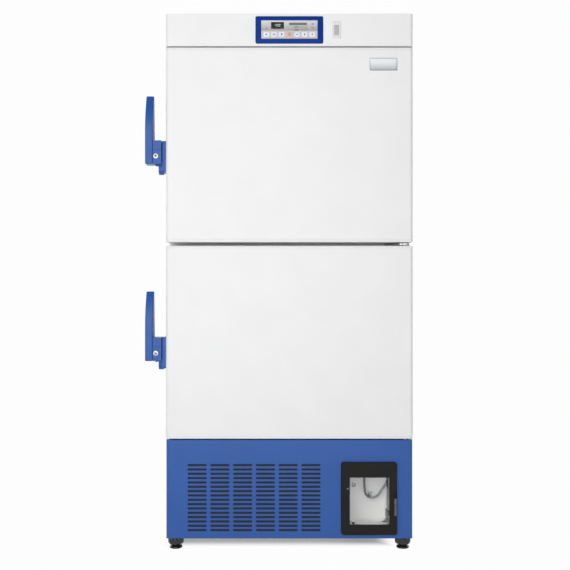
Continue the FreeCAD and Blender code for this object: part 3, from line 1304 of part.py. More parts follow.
def electrical_box():
    """Control box on the chassis, with the recessed mains inlet at its rear."""
    half, rise = INLET_WIDTH / 2, INLET_HEIGHT / 2
    low = CHASSIS_RISE + CHASSIS_SHEET
    back = DEPTH - SHEET - BOX_GAP
    case = box(INLET_X - BOX_WIDTH / 2, INLET_X + BOX_WIDTH / 2, back - BOX_DEPTH, back,
               low, low + BOX_HEIGHT)
    neck = box(INLET_X - half, INLET_X + half, back, DEPTH, INLET_Z - rise, INLET_Z + rise)
    socket = box(INLET_X - half + INLET_RIM, INLET_X + half - INLET_RIM, DEPTH - INLET_DEPTH, DEPTH,
                 INLET_Z - rise + INLET_RIM, INLET_Z + rise - INLET_RIM)
    case = case.fuse(neck).cut(socket)
    floor = DEPTH - INLET_DEPTH
    for dx, dz in ((-7, -2), (0, 3), (7, -2)):
        x, z = INLET_X + dx, INLET_Z + dz
        case = case.fuse(box(x - 1, x + 1, floor, floor + 10, z - 2.5, z + 2.5))
    return case


def nodes():
    """Every sub-part, by the name of its node."""
    made = {
        "outer_casing": outer_casing(),
        "back_panel": back_panel(),
        "service_cover": service_cover(),
        "insulation": insulation(),
        "upper_liner": chamber_liner(UPPER_CHAMBER),
        "lower_liner": chamber_liner(LOWER_CHAMBER),
        "front_frame": front_frame(),
        "shelf_rails": shelf_rails(),
        "shelves": shelves(),
        "fascia_cover": fascia_cover(),
        "control_bezel": control_bezel(),
        "control_overlay": control_overlay(),
        "display_window": display_window(),
        "port_plate": port_plate(),
        "port_cover": port_cover(),
        "nameplate": nameplate(),
        "base_panel": base_panel(),
        "recorder_housing": recorder_housing(),
        "recorder_tray": recorder_tray(),
        "recorder_door_frame": recorder_door_frame(),
        "recorder_window": recorder_window(),
        "recorder_latch": recorder_latch(),
        "recorder_lead": recorder_lead(),
        "hinge_brackets": hinge_brackets(),
        "strike_plates": strike_plates(),
        "chassis": chassis(),
        "levelling_foot_left": levelling_foot(-FOOT_X),
        "levelling_foot_right": levelling_foot(FOOT_X),
        "rear_axle": rear_axle(),
        "condenser": condenser(),
        "fan_shroud": fan_shroud(),
        "fan_blades": fan_blades(),
        "compressor": compressor(),
        "discharge_line": discharge_line(),
        "electrical_box": electrical_box(),
    }
    for i in range(KEY_COUNT):
        made[f"control_key_{i + 1}"] = control_key(i)
    doors = (
        ("upper", UPPER_DOOR_Z, UPPER_DOOR_HEIGHT, UPPER_CHAMBER, UPPER_HANDLE_Z),
        ("lower", LOWER_DOOR_Z, LOWER_DOOR_HEIGHT, LOWER_CHAMBER, LOWER_HANDLE_Z),
    )
    for name, z0, height, chamber, handle_z in doors:
        made[f"{name}_door_skin"] = door_skin(z0, height)
        made[f"{name}_door_caps"] = door_caps(z0, height)
        made[f"{name}_door_core"] = door_core(z0, height, chamber)
        made[f"{name}_door_liner"] = door_liner(z0, height, chamber)
        made[f"{name}_door_gasket"] = door_gasket(z0, height)
        made[f"{name}_handle_base"] = handle_base(handle_z)
        made[f"{name}_handle_pin"] = handle_pin(handle_z)
        made[f"{name}_handle_lever"] = handle_lever(handle_z)
        made[f"{name}_lock_barrel"] = lock_barrel(handle_z)
    return made


def main():
    os.makedirs("parts", exist_ok=True)
    for name, shape in nodes().items():
        shape.translate(ORIGIN_SHIFT)
        if not shape.isValid():
            print("not valid:", name)
        shape.exportStep(f"parts/{name}.step")


if __name__ == "__main__":
    main()
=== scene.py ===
"""Looks of an upright two-door laboratory freezer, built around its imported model.

Sizes are written in millimetres in the same layout as the source of the solids: X runs across from
the middle of the cabinet, Y runs back from the door fronts and Z runs up from the floor. The
function metres() turns such a point into the shared frame.
"""
import json
import math

import bmesh
import bpy
from mathutils import Matrix, Vector

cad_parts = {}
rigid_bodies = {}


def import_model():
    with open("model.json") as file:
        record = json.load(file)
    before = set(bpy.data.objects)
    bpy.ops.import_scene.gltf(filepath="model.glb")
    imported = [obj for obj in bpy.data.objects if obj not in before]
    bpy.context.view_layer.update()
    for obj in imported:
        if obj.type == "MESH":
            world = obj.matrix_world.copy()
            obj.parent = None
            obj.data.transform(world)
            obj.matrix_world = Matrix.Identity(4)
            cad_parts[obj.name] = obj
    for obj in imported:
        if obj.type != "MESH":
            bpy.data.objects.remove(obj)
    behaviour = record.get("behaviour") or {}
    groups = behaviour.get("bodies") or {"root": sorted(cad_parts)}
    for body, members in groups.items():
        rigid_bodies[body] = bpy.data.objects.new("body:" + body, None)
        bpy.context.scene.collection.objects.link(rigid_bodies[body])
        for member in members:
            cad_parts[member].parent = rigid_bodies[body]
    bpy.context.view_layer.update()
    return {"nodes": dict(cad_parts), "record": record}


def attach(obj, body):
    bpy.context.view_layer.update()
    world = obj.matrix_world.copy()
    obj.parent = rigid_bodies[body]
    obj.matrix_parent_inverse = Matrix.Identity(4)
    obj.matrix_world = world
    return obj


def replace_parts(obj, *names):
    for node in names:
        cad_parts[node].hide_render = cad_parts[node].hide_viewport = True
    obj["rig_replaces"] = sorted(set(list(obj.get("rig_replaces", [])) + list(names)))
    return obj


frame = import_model()

SHIFT = Vector((36.5, -420.5, 0.0))  # from the layout of the source to the shared frame
WIDTH = 870.0
SIDE = WIDTH / 2
DEPTH = 850.0
FACE = 106.0  # front of the cabinet's body, behind the doors
HEIGHT = 1888.0
EDGE_RADIUS = 13.0  # of the upright front edges
SHEET = 1.2
TO_FRONT, TO_BACK = (0, -1, 0), (0, 1, 0)
TO_LEFT, TO_RIGHT = (-1, 0, 0), (1, 0, 0)
UP, DOWN = (0, 0, 1), (0, 0, -1)
scene = bpy.context.scene


def metres(x, y, z):
    """Point of the shared frame, from millimetres in the layout of the source."""
    return (Vector((x, y, z)) + SHIFT) / 1000


def millimetres(point):
    """Point in the layout of the source, from the shared frame."""
    return point * 1000 - SHIFT


# Materials
def srgb(red, green, blue):
    """Colour for a shader from 8-bit display values."""
    def linear(value):
        value /= 255
        return value / 12.92 if value <= 0.04045 else ((value + 0.055) / 1.055) ** 2.4
    return linear(red), linear(green), linear(blue), 1.0


def new_material(name):
    """Empty node material with its shader and its object coordinates."""
    made = bpy.data.materials.new(name)
    made.use_nodes = True
    tree = made.node_tree
    coords = tree.nodes.new("ShaderNodeTexCoord").outputs["Object"]
    return made, tree, tree.nodes["Principled BSDF"], coords


def noise(tree, coords, scale, stretch=(1, 1, 1), detail=2.0):
    """Noise value over the object, with its features drawn out along an axis."""
    mapping = tree.nodes.new("ShaderNodeMapping")
    mapping.inputs["Scale"].default_value = stretch
    tree.links.new(coords, mapping.inputs["Vector"])
    node = tree.nodes.new("ShaderNodeTexNoise")
    node.inputs["Scale"].default_value = scale
    node.inputs["Detail"].default_value = detail
    tree.links.new(mapping.outputs["Vector"], node.inputs["Vector"])
    return node.outputs["Fac"]


def remap(tree, value, from_low, from_high, to_low=0.0, to_high=1.0, smooth=False):
    """Value mapped from one range to another and held at its ends."""
    node = tree.nodes.new("ShaderNodeMapRange")
    if smooth:
        node.interpolation_type = "SMOOTHSTEP"
    node.inputs["From Min"].default_value = from_low
    node.inputs["From Max"].default_value = from_high
    node.inputs["To Min"].default_value = to_low
    node.inputs["To Max"].default_value = to_high
    tree.links.new(value, node.inputs["Value"])
    return node.outputs["Result"]


def spread(tree, value, low, high):
    """Noise value, which mostly lies between 0.3 and 0.7, mapped to a range."""
    return remap(tree, value, 0.3, 0.7, low, high)


def calc(tree, operation, first, second):
    """Result of a sum on two values, of which the second may be a plain number."""
    node = tree.nodes.new("ShaderNodeMath")
    node.operation = operation
    tree.links.new(first, node.inputs[0])
    if isinstance(second, float):
        node.inputs[1].default_value = second
    else:
        tree.links.new(second, node.inputs[1])
    return node.outputs["Value"]


def blend_colours(tree, value, first, second):
    """Colour between two colours by a value."""
    node = tree.nodes.new("ShaderNodeMix")
    node.data_type = "RGBA"
    node.inputs["A"].default_value = first
    node.inputs["B"].default_value = second
    tree.links.new(value, node.inputs["Factor"])
    return node.outputs["Result"]


def shaded(colour, factor):
    """Colour made lighter or darker."""
    return tuple(min(1.0, c * factor) for c in colour[:3]) + (1.0,)


def surface(name, colour, rough, grain, relief, vary, rough_vary=0.06, metallic=0.0, coat=0.0,
            specular=0.5, alpha=1.0, patch=9.0):
    """Material with fine relief, patchy colour and uneven gloss.

    Grain and patch are noise scales for one metre, and the relief is in millimetres.
    """
    made, tree, shader, coords = new_material(name)
    fine = noise(tree, coords, grain)
    broad = noise(tree, coords, patch, detail=3.0)
    tint = blend_colours(tree, spread(tree, broad, 0, 1), shaded(colour, 1 - vary), shaded(colour, 1 + vary))
    tree.links.new(tint, shader.inputs["Base Color"])
    tree.links.new(spread(tree, fine, rough - rough_vary, rough + rough_vary), shader.inputs["Roughness"])
    bump = tree.nodes.new("ShaderNodeBump")
    bump.inputs["Strength"].default_value = 0.5
    bump.inputs["Distance"].default_value = relief / 1000
    tree.links.new(fine, bump.inputs["Height"])
    tree.links.new(bump.outputs["Normal"], shader.inputs["Normal"])
    shader.inputs["Metallic"].default_value = metallic
    shader.inputs["Coat Weight"].default_value = coat
    shader.inputs["Coat Roughness"].default_value = 0.12
    shader.inputs["Specular IOR Level"].default_value = specular
    shader.inputs["Alpha"].default_value = alpha
    return made


def painted_sheen(name, low_colour, high_colour, low_z, high_z, rough, metallic):
    """Film or plate whose colour runs from one height to another, lighter towards the top as a painted
    reflection of the light from above, with a fine brushed grain.
    """
    made, tree, shader, coords = new_material(name)
    split = tree.nodes.new("ShaderNodeSeparateXYZ")
    tree.links.new(coords, split.inputs["Vector"])
    ramp = remap(tree, split.outputs["Z"], low_z / 1000, high_z / 1000)
    grain = noise(tree, coords, 900, (0.05, 1, 1))
    mix = tree.nodes.new("ShaderNodeMix")
    mix.data_type = "RGBA"
    mix.blend_type = "MULTIPLY"
    mix.inputs["Factor"].default_value = 1.0
    tree.links.new(blend_colours(tree, ramp, low_colour, high_colour), mix.inputs["A"])
    tree.links.new(spread(tree, grain, 0.94, 1.02), mix.inputs["B"])
    tree.links.new(mix.outputs["Result"], shader.inputs["Base Color"])
    tree.links.new(spread(tree, grain, rough - 0.06, rough + 0.06), shader.inputs["Roughness"])
    shader.inputs["Metallic"].default_value = metallic
    return made


BLUE = srgb(33, 86, 165)
WHITE = srgb(240, 240, 240)
LOOK = {
    "cabinet_white": surface("cabinet_paint", WHITE, 0.42, 420, 0.02, 0.012, specular=0.3),
    "door_white": surface("door_paint", WHITE, 0.36, 380, 0.02, 0.012, specular=0.3),
    "cap_white": surface("cap_plastic", srgb(240, 240, 240), 0.38, 900, 0.012, 0.012),
    "base_blue": surface("base_paint", BLUE, 0.22, 700, 0.02, 0.04, rough_vary=0.03, specular=0.46, patch=5),
    "handle_blue": surface("handle_plastic", BLUE, 0.34, 1100, 0.02, 0.04, specular=0.32, patch=14),
    "bezel_blue": surface("bezel_plastic", srgb(8, 56, 142), 0.34, 1300, 0.01, 0.05, specular=0.16, patch=20),
    # Silver film painted lighter towards the top: a painted reflection of the light from above.
    "overlay_silver": painted_sheen("overlay_film", srgb(150, 150, 150), srgb(205, 205, 205), 1828, 1862,
                             0.36, 0.25),
    "display_dark": surface("display_pane", srgb(16, 14, 18), 0.12, 200, 0.002, 0.2, rough_vary=0.02,
                            specular=0.15),
    "key_white": surface("key_cap", srgb(232, 237, 245), 0.42, 1500, 0.01, 0.02),
    "key_pink": surface("key_cap_pink", srgb(222, 178, 178), 0.42, 1500, 0.01, 0.03),
    "port_grey": surface("port_plastic", srgb(226, 226, 227), 0.42, 1200, 0.015, 0.02),
    # Silver rim of the plate painted lighter towards the top: a painted reflection of the light from above.
    "plate_silver": painted_sheen("plate_metal", srgb(152, 153, 156), srgb(212, 213, 215), 1690, 1728, 0.36, 0.25),
    "recorder_black": surface("recorder_plastic", srgb(27, 27, 26), 0.5, 1500, 0.05, 0.12, specular=0.15,
                              patch=30),
    "tray_white": surface("tray_plastic", srgb(253, 253, 252), 0.5, 800, 0.03, 0.015, patch=18),
    "window_clear": surface("window_acrylic", srgb(250, 252, 252), 0.04, 90, 0.001, 0.01, rough_vary=0.01,
                            specular=0.3, alpha=0.03),
    "latch_grey": surface("latch_plastic", srgb(88, 90, 90), 0.45, 1300, 0.03, 0.08, patch=40),
    "lead_grey": surface("lead_sheath", srgb(92, 94, 96), 0.5, 1200, 0.04, 0.10, patch=60),
    "zinc_steel": surface("zinc_plate", srgb(186, 188, 190), 0.36, 260, 0.01, 0.10, metallic=0.9, patch=60),
    "lock_chrome": surface("lock_metal", srgb(164, 165, 167), 0.26, 600, 0.004, 0.03, metallic=1.0, patch=80),
    "liner_white": surface("liner_plastic", srgb(233, 234, 234), 0.46, 600, 0.02, 0.012),
    "gasket_grey": surface("gasket_rubber", srgb(112, 114, 117), 0.62, 900, 0.05, 0.08, patch=40),
    "foam_cream": surface("foam", srgb(226, 212, 170), 0.9, 500, 0.3, 0.10, patch=60),
    "foot_black": surface("foot_plastic", srgb(22, 22, 23), 0.34, 1000, 0.03, 0.15, patch=60),
    "wheel_grey": surface("wheel_plastic", srgb(52, 53, 55), 0.5, 900, 0.04, 0.12, patch=40),
    "fin_aluminium": surface("fin_metal", srgb(184, 187, 190), 0.34, 700, 0.02, 0.08, metallic=0.9, patch=40),
    "compressor_black": surface("compressor_paint", srgb(26, 27, 28), 0.36, 500, 0.04, 0.12, coat=0.2,
                                patch=20),
    "copper": surface("copper_tube", srgb(196, 122, 84), 0.28, 500, 0.01, 0.10, metallic=1.0, patch=40),
    "box_grey": surface("box_plastic", srgb(146, 148, 150), 0.5, 900, 0.03, 0.06),
}
INK_BLUE = surface("icon_blue", srgb(70, 98, 178), 0.5, 900, 0.004, 0.05)
INK_RED = surface("icon_red", srgb(150, 92, 96), 0.5, 900, 0.004, 0.05)
INK_GREY = surface("print_grey", srgb(104, 105, 106), 0.5, 900, 0.004, 0.05)
INK_DARK = surface("print_dark", srgb(70, 71, 72), 0.5, 900, 0.004, 0.05)
STRIP = surface("key_strip", srgb(203, 198, 193), 0.42, 1200, 0.01, 0.03)
# Blank face of the plate painted lighter towards the top: a painted reflection of the light from above.
PLATE_FACE = painted_sheen("plate_face", srgb(166, 167, 171), srgb(222, 223, 225), 1688, 1716, 0.35, 0.25)
SCREW = surface("screw_metal", srgb(196, 198, 200), 0.26, 900, 0.01, 0.08, metallic=1.0, patch=200)
DARK_HOLE = surface("shadow_plastic", srgb(16, 16, 17), 0.7, 900, 0.02, 0.10)
WRAP = surface("wrap_clear", srgb(244, 246, 248), 0.18, 700, 0.01, 0.02, alpha=0.8)
TIE = surface("tie_nylon", srgb(66, 67, 68), 0.42, 900, 0.02, 0.05)
WALL_GREY = surface("bay_wall", srgb(140, 141, 142), 0.5, 900, 0.03, 0.06)
FLAP_GREY = surface("flap_plastic", srgb(178, 178, 180), 0.42, 1200, 0.015, 0.03)
GLOW = surface("digit_glow", srgb(228, 232, 236), 0.5, 900, 0.002, 0.02)


# Mesh helpers, in millimetres
PLANES = {
    "xy": lambda u, v, w: Vector((u, v, w)),
    "xz": lambda u, v, w: Vector((u, w, v)),
    "yz": lambda u, v, w: Vector((w, u, v)),
}


def rounded(corners, steps=8):
    """Points of a closed outline through corners given as (u, v) or (u, v, radius)."""
    points = []
    flat = [Vector(c[:2]) for c in corners]
    for i, corner in enumerate(corners):
        radius = corner[2] if len(corner) > 2 else 0
        here = flat[i]
        if radius <= 0:
            points.append(here)
            continue
        before = (flat[i - 1] - here).normalized()
        after = (flat[(i + 1) % len(flat)] - here).normalized()
        half = before.angle(after) / 2
        centre = here + (before + after).normalized() * (radius / math.sin(half))
        start = here + before * (radius / math.tan(half)) - centre
        end = here + after * (radius / math.tan(half)) - centre
        sweep = start.angle(end)
        for k in range(steps + 1):
            t = k / steps
            arm = (start * math.sin((1 - t) * sweep) + end * math.sin(t * sweep)) / math.sin(sweep)
            points.append(centre + arm)
    return points


def rectangle(u0, u1, v0, v1, radius=0.0):
    """Corners of a rectangle with equally rounded corners."""
    return [(u0, v0, radius), (u1, v0, radius), (u1, v1, radius), (u0, v1, radius)]


def around(u, v, half_u, half_v, radius=0.0):
    """Corners of a rectangle about its middle."""
    return rectangle(u - half_u, u + half_u, v - half_v, v + half_v, radius)


def ring_faces(bm, rings, ends=True):
    """Faces between rings with the same number of points, and over the two ends."""
    made = [[bm.verts.new(p) for p in ring] for ring in rings]
    count = len(rings[0])
    for a, b in zip(made, made[1:]):
        for i in range(count):
            j = (i + 1) % count
            bm.faces.new((a[i], a[j], b[j], b[i]))
    if ends:
        bm.faces.new(list(reversed(made[0])))
        bm.faces.new(made[-1])


def outlines(levels, plane, steps):
    """Rings of points from outlines at several levels, given as (corners, level)."""
    return [[PLANES[plane](p[0], p[1], level) for p in rounded(corners, steps)] for corners, level in levels]


def loft(bm, levels, plane, steps=8):
    """Solid through outlines at several levels."""
    ring_faces(bm, outlines(levels, plane, steps))


def prism(bm, corners, plane, start, end, steps=8):
    """Outline extruded square to its plane."""
    loft(bm, [(corners, start), (corners, end)], plane, steps)


def block(bm, x0, x1, y0, y1, z0, z1):
    """Box between two corners."""
    prism(bm, rectangle(x0, x1, z0, z1), "xz", y0, y1)


def closed_frame(bm, levels):
    """Frame through outlines at several depths, of which the last is the first one again."""
    ring_faces(bm, outlines(levels, "xz", 8), ends=False)
    bmesh.ops.remove_doubles(bm, verts=bm.verts, dist=0.0001)


def lathe(bm, section, centre, axis, count):
    """Surface turned about an axis from (radius, distance) points, open at its ends."""
    along = Vector(axis).normalized()
    side = along.orthogonal().normalized()
    other = along.cross(side)
    turns = [2 * math.pi * i / count for i in range(count)]
    spokes = [side * math.cos(turn) + other * math.sin(turn) for turn in turns]
    rings = []
    for radius, distance in section:
        middle = Vector(centre) + along * distance
        rings.append([middle + spoke * radius for spoke in spokes])
    ring_faces(bm, rings, ends=False)


CORE = 0.01  # radius where a turned section ends at its axis


def rod(radius, start, end):
    """Section of a plain round bar."""
    return [(CORE, start), (radius, start), (radius, end), (CORE, end)]


def tube(inner, outer, start, end):
    """Section of a plain ring, closed on itself."""
    return [(inner, start), (outer, start), (outer, end), (inner, end), (inner, start)]


def to_mesh(name, bm):
    """Mesh in the shared frame, from a shape in millimetres that is then dropped."""
    bmesh.ops.recalc_face_normals(bm, faces=bm.faces)
    mesh = bpy.data.meshes.new(name)
    bm.to_mesh(mesh)
    bm.free()
    mesh.transform(Matrix.Diagonal((0.001, 0.001, 0.001, 1.0)) @ Matrix.Translation(SHIFT))
    return mesh


def soften(mesh, angle=32.0):
    """Smooth shading, kept sharp at the real edges."""
    mesh.shade_smooth()
    mesh.set_sharp_from_angle(angle=math.radians(angle))


def place(obj, body, slot, material, replaces=()):
    """Puts an object on its body, with its material, which the slot picks when none is given."""
    scene.collection.objects.link(obj)
    obj.data.materials.clear()
    obj.data.materials.append(material or LOOK[slot])
    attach(obj, body)
    if replaces:
        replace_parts(obj, *replaces)
    return obj


def piece(name, bm, body, slot, material=None, replaces=(), bevel=0.0, segments=3, sharp=32.0):
    """Finished mesh object with rounded edges."""
    mesh = to_mesh(name, bm)
    soften(mesh, sharp)
    obj = bpy.data.objects.new(name, mesh)
    place(obj, body, slot, material, replaces)
    if bevel:
        modifier = obj.modifiers.new("edges", "BEVEL")
        modifier.width = bevel / 1000
        modifier.segments = segments
        modifier.limit_method = "ANGLE"
        modifier.angle_limit = math.radians(35)
        modifier.harden_normals = True
    return obj


def boxes(name, sizes, body, slot, material=None, **finish):
    """Piece made of boxes, each given as x0, x1, y0, y1, z0, z1."""
    bm = bmesh.new()
    for size in sizes:
        block(bm, *size)
    return piece(name, bm, body, slot, material, **finish)


def turned(name, section, centre, axis, count, body, slot, material=None, **finish):
    """Piece turned about an axis."""
    bm = bmesh.new()
    lathe(bm, section, centre, axis, count)
    return piece(name, bm, body, slot, material, **finish)


def flat(name, shapes, face, thickness, body, slot, material):
    """Thin marks on a face that looks forward, each a bar's edges as a tuple or a list of corners."""
    bm = bmesh.new()
    for shape in shapes:
        corners = rectangle(*shape) if isinstance(shape, tuple) else shape
        prism(bm, corners, "xz", face - thickness, face, 6)
    piece(name, bm, body, slot, material)


def screws(name, body, places, axis, radius):
    """Round screw heads with a socket, facing along an axis."""
    bm = bmesh.new()
    section = [(radius, 0), (radius, radius * 0.28), (radius * 0.86, radius * 0.5),
               (radius * 0.46, radius * 0.56), (radius * 0.42, radius * 0.2), (CORE, radius * 0.2)]
    for spot in places:
        lathe(bm, section, spot, axis, 20)
    piece(name, bm, body, "zinc_steel", SCREW, sharp=40)


def carve(obj, cutter):
    """Cuts the shapes of a mesh, in millimetres, out of an object."""
    tool = bpy.data.objects.new("cutter", to_mesh("cutter", cutter))
    scene.collection.objects.link(tool)
    others = list(obj.modifiers)
    for other in others:
        other.show_viewport = False
    modifier = obj.modifiers.new("cut", "BOOLEAN")
    modifier.object = tool
    modifier.solver = "EXACT"
    whole = obj.data
    obj.data = bpy.data.meshes.new_from_object(obj.evaluated_get(bpy.context.evaluated_depsgraph_get()))
    bpy.data.meshes.remove(whole)
    obj.modifiers.remove(modifier)
    for other in others:
        other.show_viewport = True
    bpy.data.objects.remove(tool)
    soften(obj.data)


def path_curve(name, kind, points, radius, resolution):
    """Curve with a round section along points in millimetres, and its spline."""
    curve = bpy.data.curves.new(name, "CURVE")
    curve.dimensions = "3D"
    curve.bevel_depth = radius / 1000
    curve.bevel_resolution = resolution
    spline = curve.splines.new(kind)
    spline.points.add(len(points) - 1)
    for target, point in zip(spline.points, points):
        target.co = (*metres(*point), 1)
    return curve, spline


def mesh_of(curve):
    """Mesh of a curve."""
    carrier = bpy.data.objects.new(curve.name, curve)
    mesh = bpy.data.meshes.new_from_object(carrier)
    bpy.data.objects.remove(carrier)
    return mesh


# Camera, at the height and distance of the photograph
IMAGE = 570
PIXEL = 3.511  # millimetres in a pixel at the door fronts
DISTANCE = 3000.0
AXIS_PIXEL = 289.35  # column of the cabinet's middle
FLOOR_PIXEL = 551.26  # row of the floor below the door fronts
EYE_HEIGHT = 935.0
SENSOR = 36.0
camera_data = bpy.data.cameras.new("camera")
camera_data.sensor_width = SENSOR
camera_data.lens = SENSOR * DISTANCE / (IMAGE * PIXEL)
camera_data.shift_x = (IMAGE / 2 - AXIS_PIXEL) / IMAGE
camera_data.shift_y = -(EYE_HEIGHT - (FLOOR_PIXEL - IMAGE / 2) * PIXEL) / (IMAGE * PIXEL)
camera = bpy.data.objects.new("camera", camera_data)
camera.location = metres(0, -DISTANCE, EYE_HEIGHT)
camera.rotation_euler = (math.radians(90), 0, 0)
scene.collection.objects.link(camera)
scene.camera = camera

# Sensor lead of the recorder bay, along the route of its solid
LEAD_ROUTE = [
    (270.0, 96, 298.3),
    (270.6, 96, 186),
    (282.8, 96, 169),
    (302.6, 96, 163),
    (321.4, 96, 171),
    (339.4, 96, 202),
    (355, 96, 221),
]
LEAD_DIAMETER = 8.0


def lead_curve(name, radius):
    """Smooth line through the bends of the lead's route."""
    curve, spline = path_curve(name, "NURBS", LEAD_ROUTE, radius, 8)
    spline.order_u = 3
    spline.use_endpoint_u = True
    spline.resolution_u = 24
    return curve


lead_line = [v.co.copy() for v in mesh_of(lead_curve("lead_line", 0)).vertices]
lead_length = sum((b - a).length for a, b in zip(lead_line, lead_line[1:]))
lead = bpy.data.objects.new("sensor_lead", lead_curve("sensor_lead", LEAD_DIAMETER / 2))
place(lead, "cabinet", "lead_grey", None, ["recorder_lead"])


def along_lead(share):
    """Point and direction of the lead at a share of its length."""
    goal = share * lead_length
    for a, b in zip(lead_line, lead_line[1:]):
        step = (b - a).length
        if goal <= step:
            return a + (b - a) * (goal / step), (b - a).normalized()
        goal -= step
    return lead_line[-1], (lead_line[-1] - lead_line[-2]).normalized()


WIRE_RADIUS = 1.3


def wire(name, points, material):
    """Thin wire on the lead, along points in millimetres."""
    curve, _ = path_curve(name, "POLY", points, WIRE_RADIUS, 3)
    curve.use_fill_caps = True
    mesh = mesh_of(curve)
    soften(mesh, 50)
    return place(bpy.data.objects.new(name, mesh), "cabinet", "lead_grey", material)


# Spiral wrap between two shares of the lead's length
WRAP_FROM, WRAP_TO = 0.62, 0.985
WRAP_TURNS = 12
WRAP_RADIUS = 4.5
WRAP_STEPS = WRAP_TURNS * 20
helix = []
for i in range(WRAP_STEPS + 1):
    middle, direction = along_lead(WRAP_FROM + (WRAP_TO - WRAP_FROM) * i / WRAP_STEPS)
    side = side - direction * side.dot(direction) if i else direction.orthogonal()
    side.normalize()
    angle = 2 * math.pi * WRAP_TURNS * i / WRAP_STEPS
    spoke = side * math.cos(angle) + direction.cross(side) * math.sin(angle)
    helix.append(millimetres(middle + spoke * WRAP_RADIUS / 1000))
wrap = wire("lead_wrap", helix, WRAP)

# Cable tie with three loose ends
TIE_AT = 0.575  # share of the lead's length
tie_point, tie_direction = along_lead(TIE_AT)
tie_centre = millimetres(tie_point)
tie = turned("cable_tie", tube(4.05, 5.4, -1.6, 1.6), tie_centre, tie_direction, 24, "cabinet",
             "lead_grey", TIE, bevel=0.3)
tie_up = Vector((0.25, -0.45, 0.85)).normalized()
for number, tip in enumerate(((3, -3, 19), (14, -4, 17), (13, -2, 3))):
    tip = Vector(tip)
    bends = [tie_centre + tie_up * 4.5, tie_centre + tip * 0.6 + tie_up * 3, tie_centre + tip]
    wire(f"tie_tail_{number}", bends, TIE)

# Doors: lower edge, height, and foot of the handle
DOORS = {"upper": (1085.0, 685.0, 1361.0), "lower": (394.0, 679.0, 667.0)}
DOOR_THICKNESS = 92.0
CAP = 8.0
SEAM = 0.3
HINGE = (409.0, 28.0)
BUSH = (6.3, 10, 0.9)  # inner radius, outer radius and thickness
CAP_ROUNDING = ((0.0, 0.35), (0.5, 0.0), (3.2, 0.0), (5.2, 0.5), (6.8, 1.7), (7.7, 3.4), (8.0, 5.2))
FRONT_STEPS = 14  # facets of an upright front edge


def door_outline(inset):
    """Plan of a door, drawn in by an inset."""
    left, right = -SIDE + inset, SIDE - inset
    front, back = inset, DOOR_THICKNESS - inset
    radius = EDGE_RADIUS - inset
    return [(left, back, 2), (left, front, radius), (right, front, radius), (right, back, 2)]


def door_cap(bm, inner, outer):
    """Moulded end cap with a soft outer rim, from its seam to its end."""
    up = 1 if outer > inner else -1
    loft(bm, [(door_outline(inset), inner + up * rise) for rise, inset in CAP_ROUNDING], "xy", 12)


for door, (low, height, _) in DOORS.items():
    body = f"{door}_door"
    top = low + height
    bm = bmesh.new()
    prism(bm, door_outline(0), "xy", low + CAP + SEAM, top - CAP - SEAM, FRONT_STEPS)
    piece(f"{door}_door_panel", bm, body, "door_white", replaces=[f"{door}_door_skin", f"{door}_door_core"],
          bevel=0.3, segments=1)
    bm = bmesh.new()
    door_cap(bm, low + CAP, low)
    door_cap(bm, top - CAP, top)
    piece(f"{door}_door_end_caps", bm, body, "cap_white", replaces=[f"{door}_door_caps"], sharp=50)
    bm = bmesh.new()
    for z in (low - 0.8, top - 0.1):
        lathe(bm, tube(BUSH[0], BUSH[1], 0, BUSH[2]), (*HINGE, z), UP, 32)
    piece(f"{door}_hinge_bushes", bm, body, "cap_white", INK_GREY)


# Fascia and base panel, bent from sheet
def front_profile(half, radius, y0, y1):
    """Outline in plan of a shell whose two front edges are rounded."""
    return [(-half, y1), (-half, y0, radius), (half, y0, radius), (half, y1)]


def bent_sheet(bm, y0, y1, low, high):
    """Sheet bent round two upright front edges, open at the back."""
    outside = rounded(front_profile(SIDE, EDGE_RADIUS, y0, y1), FRONT_STEPS)
    inside = rounded(front_profile(SIDE - SHEET, EDGE_RADIUS - SHEET, y0 + SHEET, y1), FRONT_STEPS)
    points = outside + list(reversed(inside))
    ring_faces(bm, [[Vector((p[0], p[1], z)) for p in points] for z in (low, high)])


def opening(cutter, corners, front, steps=8):
    """Shape to cut through a sheet whose front is given."""
    prism(cutter, corners, "xz", front - 2, front + 3, steps)


FASCIA_LOW = 1774.0
FASCIA_FLOOR = 40  # depth of its lower fold
CONTROL_Z = 1830.0
PANEL_HOLE = (100.5, 33.8)  # half width and half height
PORT_X = 166.0
PORT_HOLE = (10, 19)
bm = bmesh.new()
bent_sheet(bm, 0, FACE, FASCIA_LOW, HEIGHT - SHEET)
prism(bm, front_profile(SIDE, EDGE_RADIUS, 0, FACE), "xy", HEIGHT - SHEET, HEIGHT, FRONT_STEPS)
block(bm, -SIDE + SHEET, SIDE - SHEET, SHEET, FASCIA_FLOOR, FASCIA_LOW, FASCIA_LOW + SHEET)
fascia = piece("fascia_panel", bm, "cabinet", "door_white", replaces=["fascia_cover"], bevel=0.5, segments=2)
cutter = bmesh.new()
opening(cutter, around(0, CONTROL_Z, *PANEL_HOLE), 0)
opening(cutter, around(PORT_X, CONTROL_Z, *PORT_HOLE), 0)
carve(fascia, cutter)

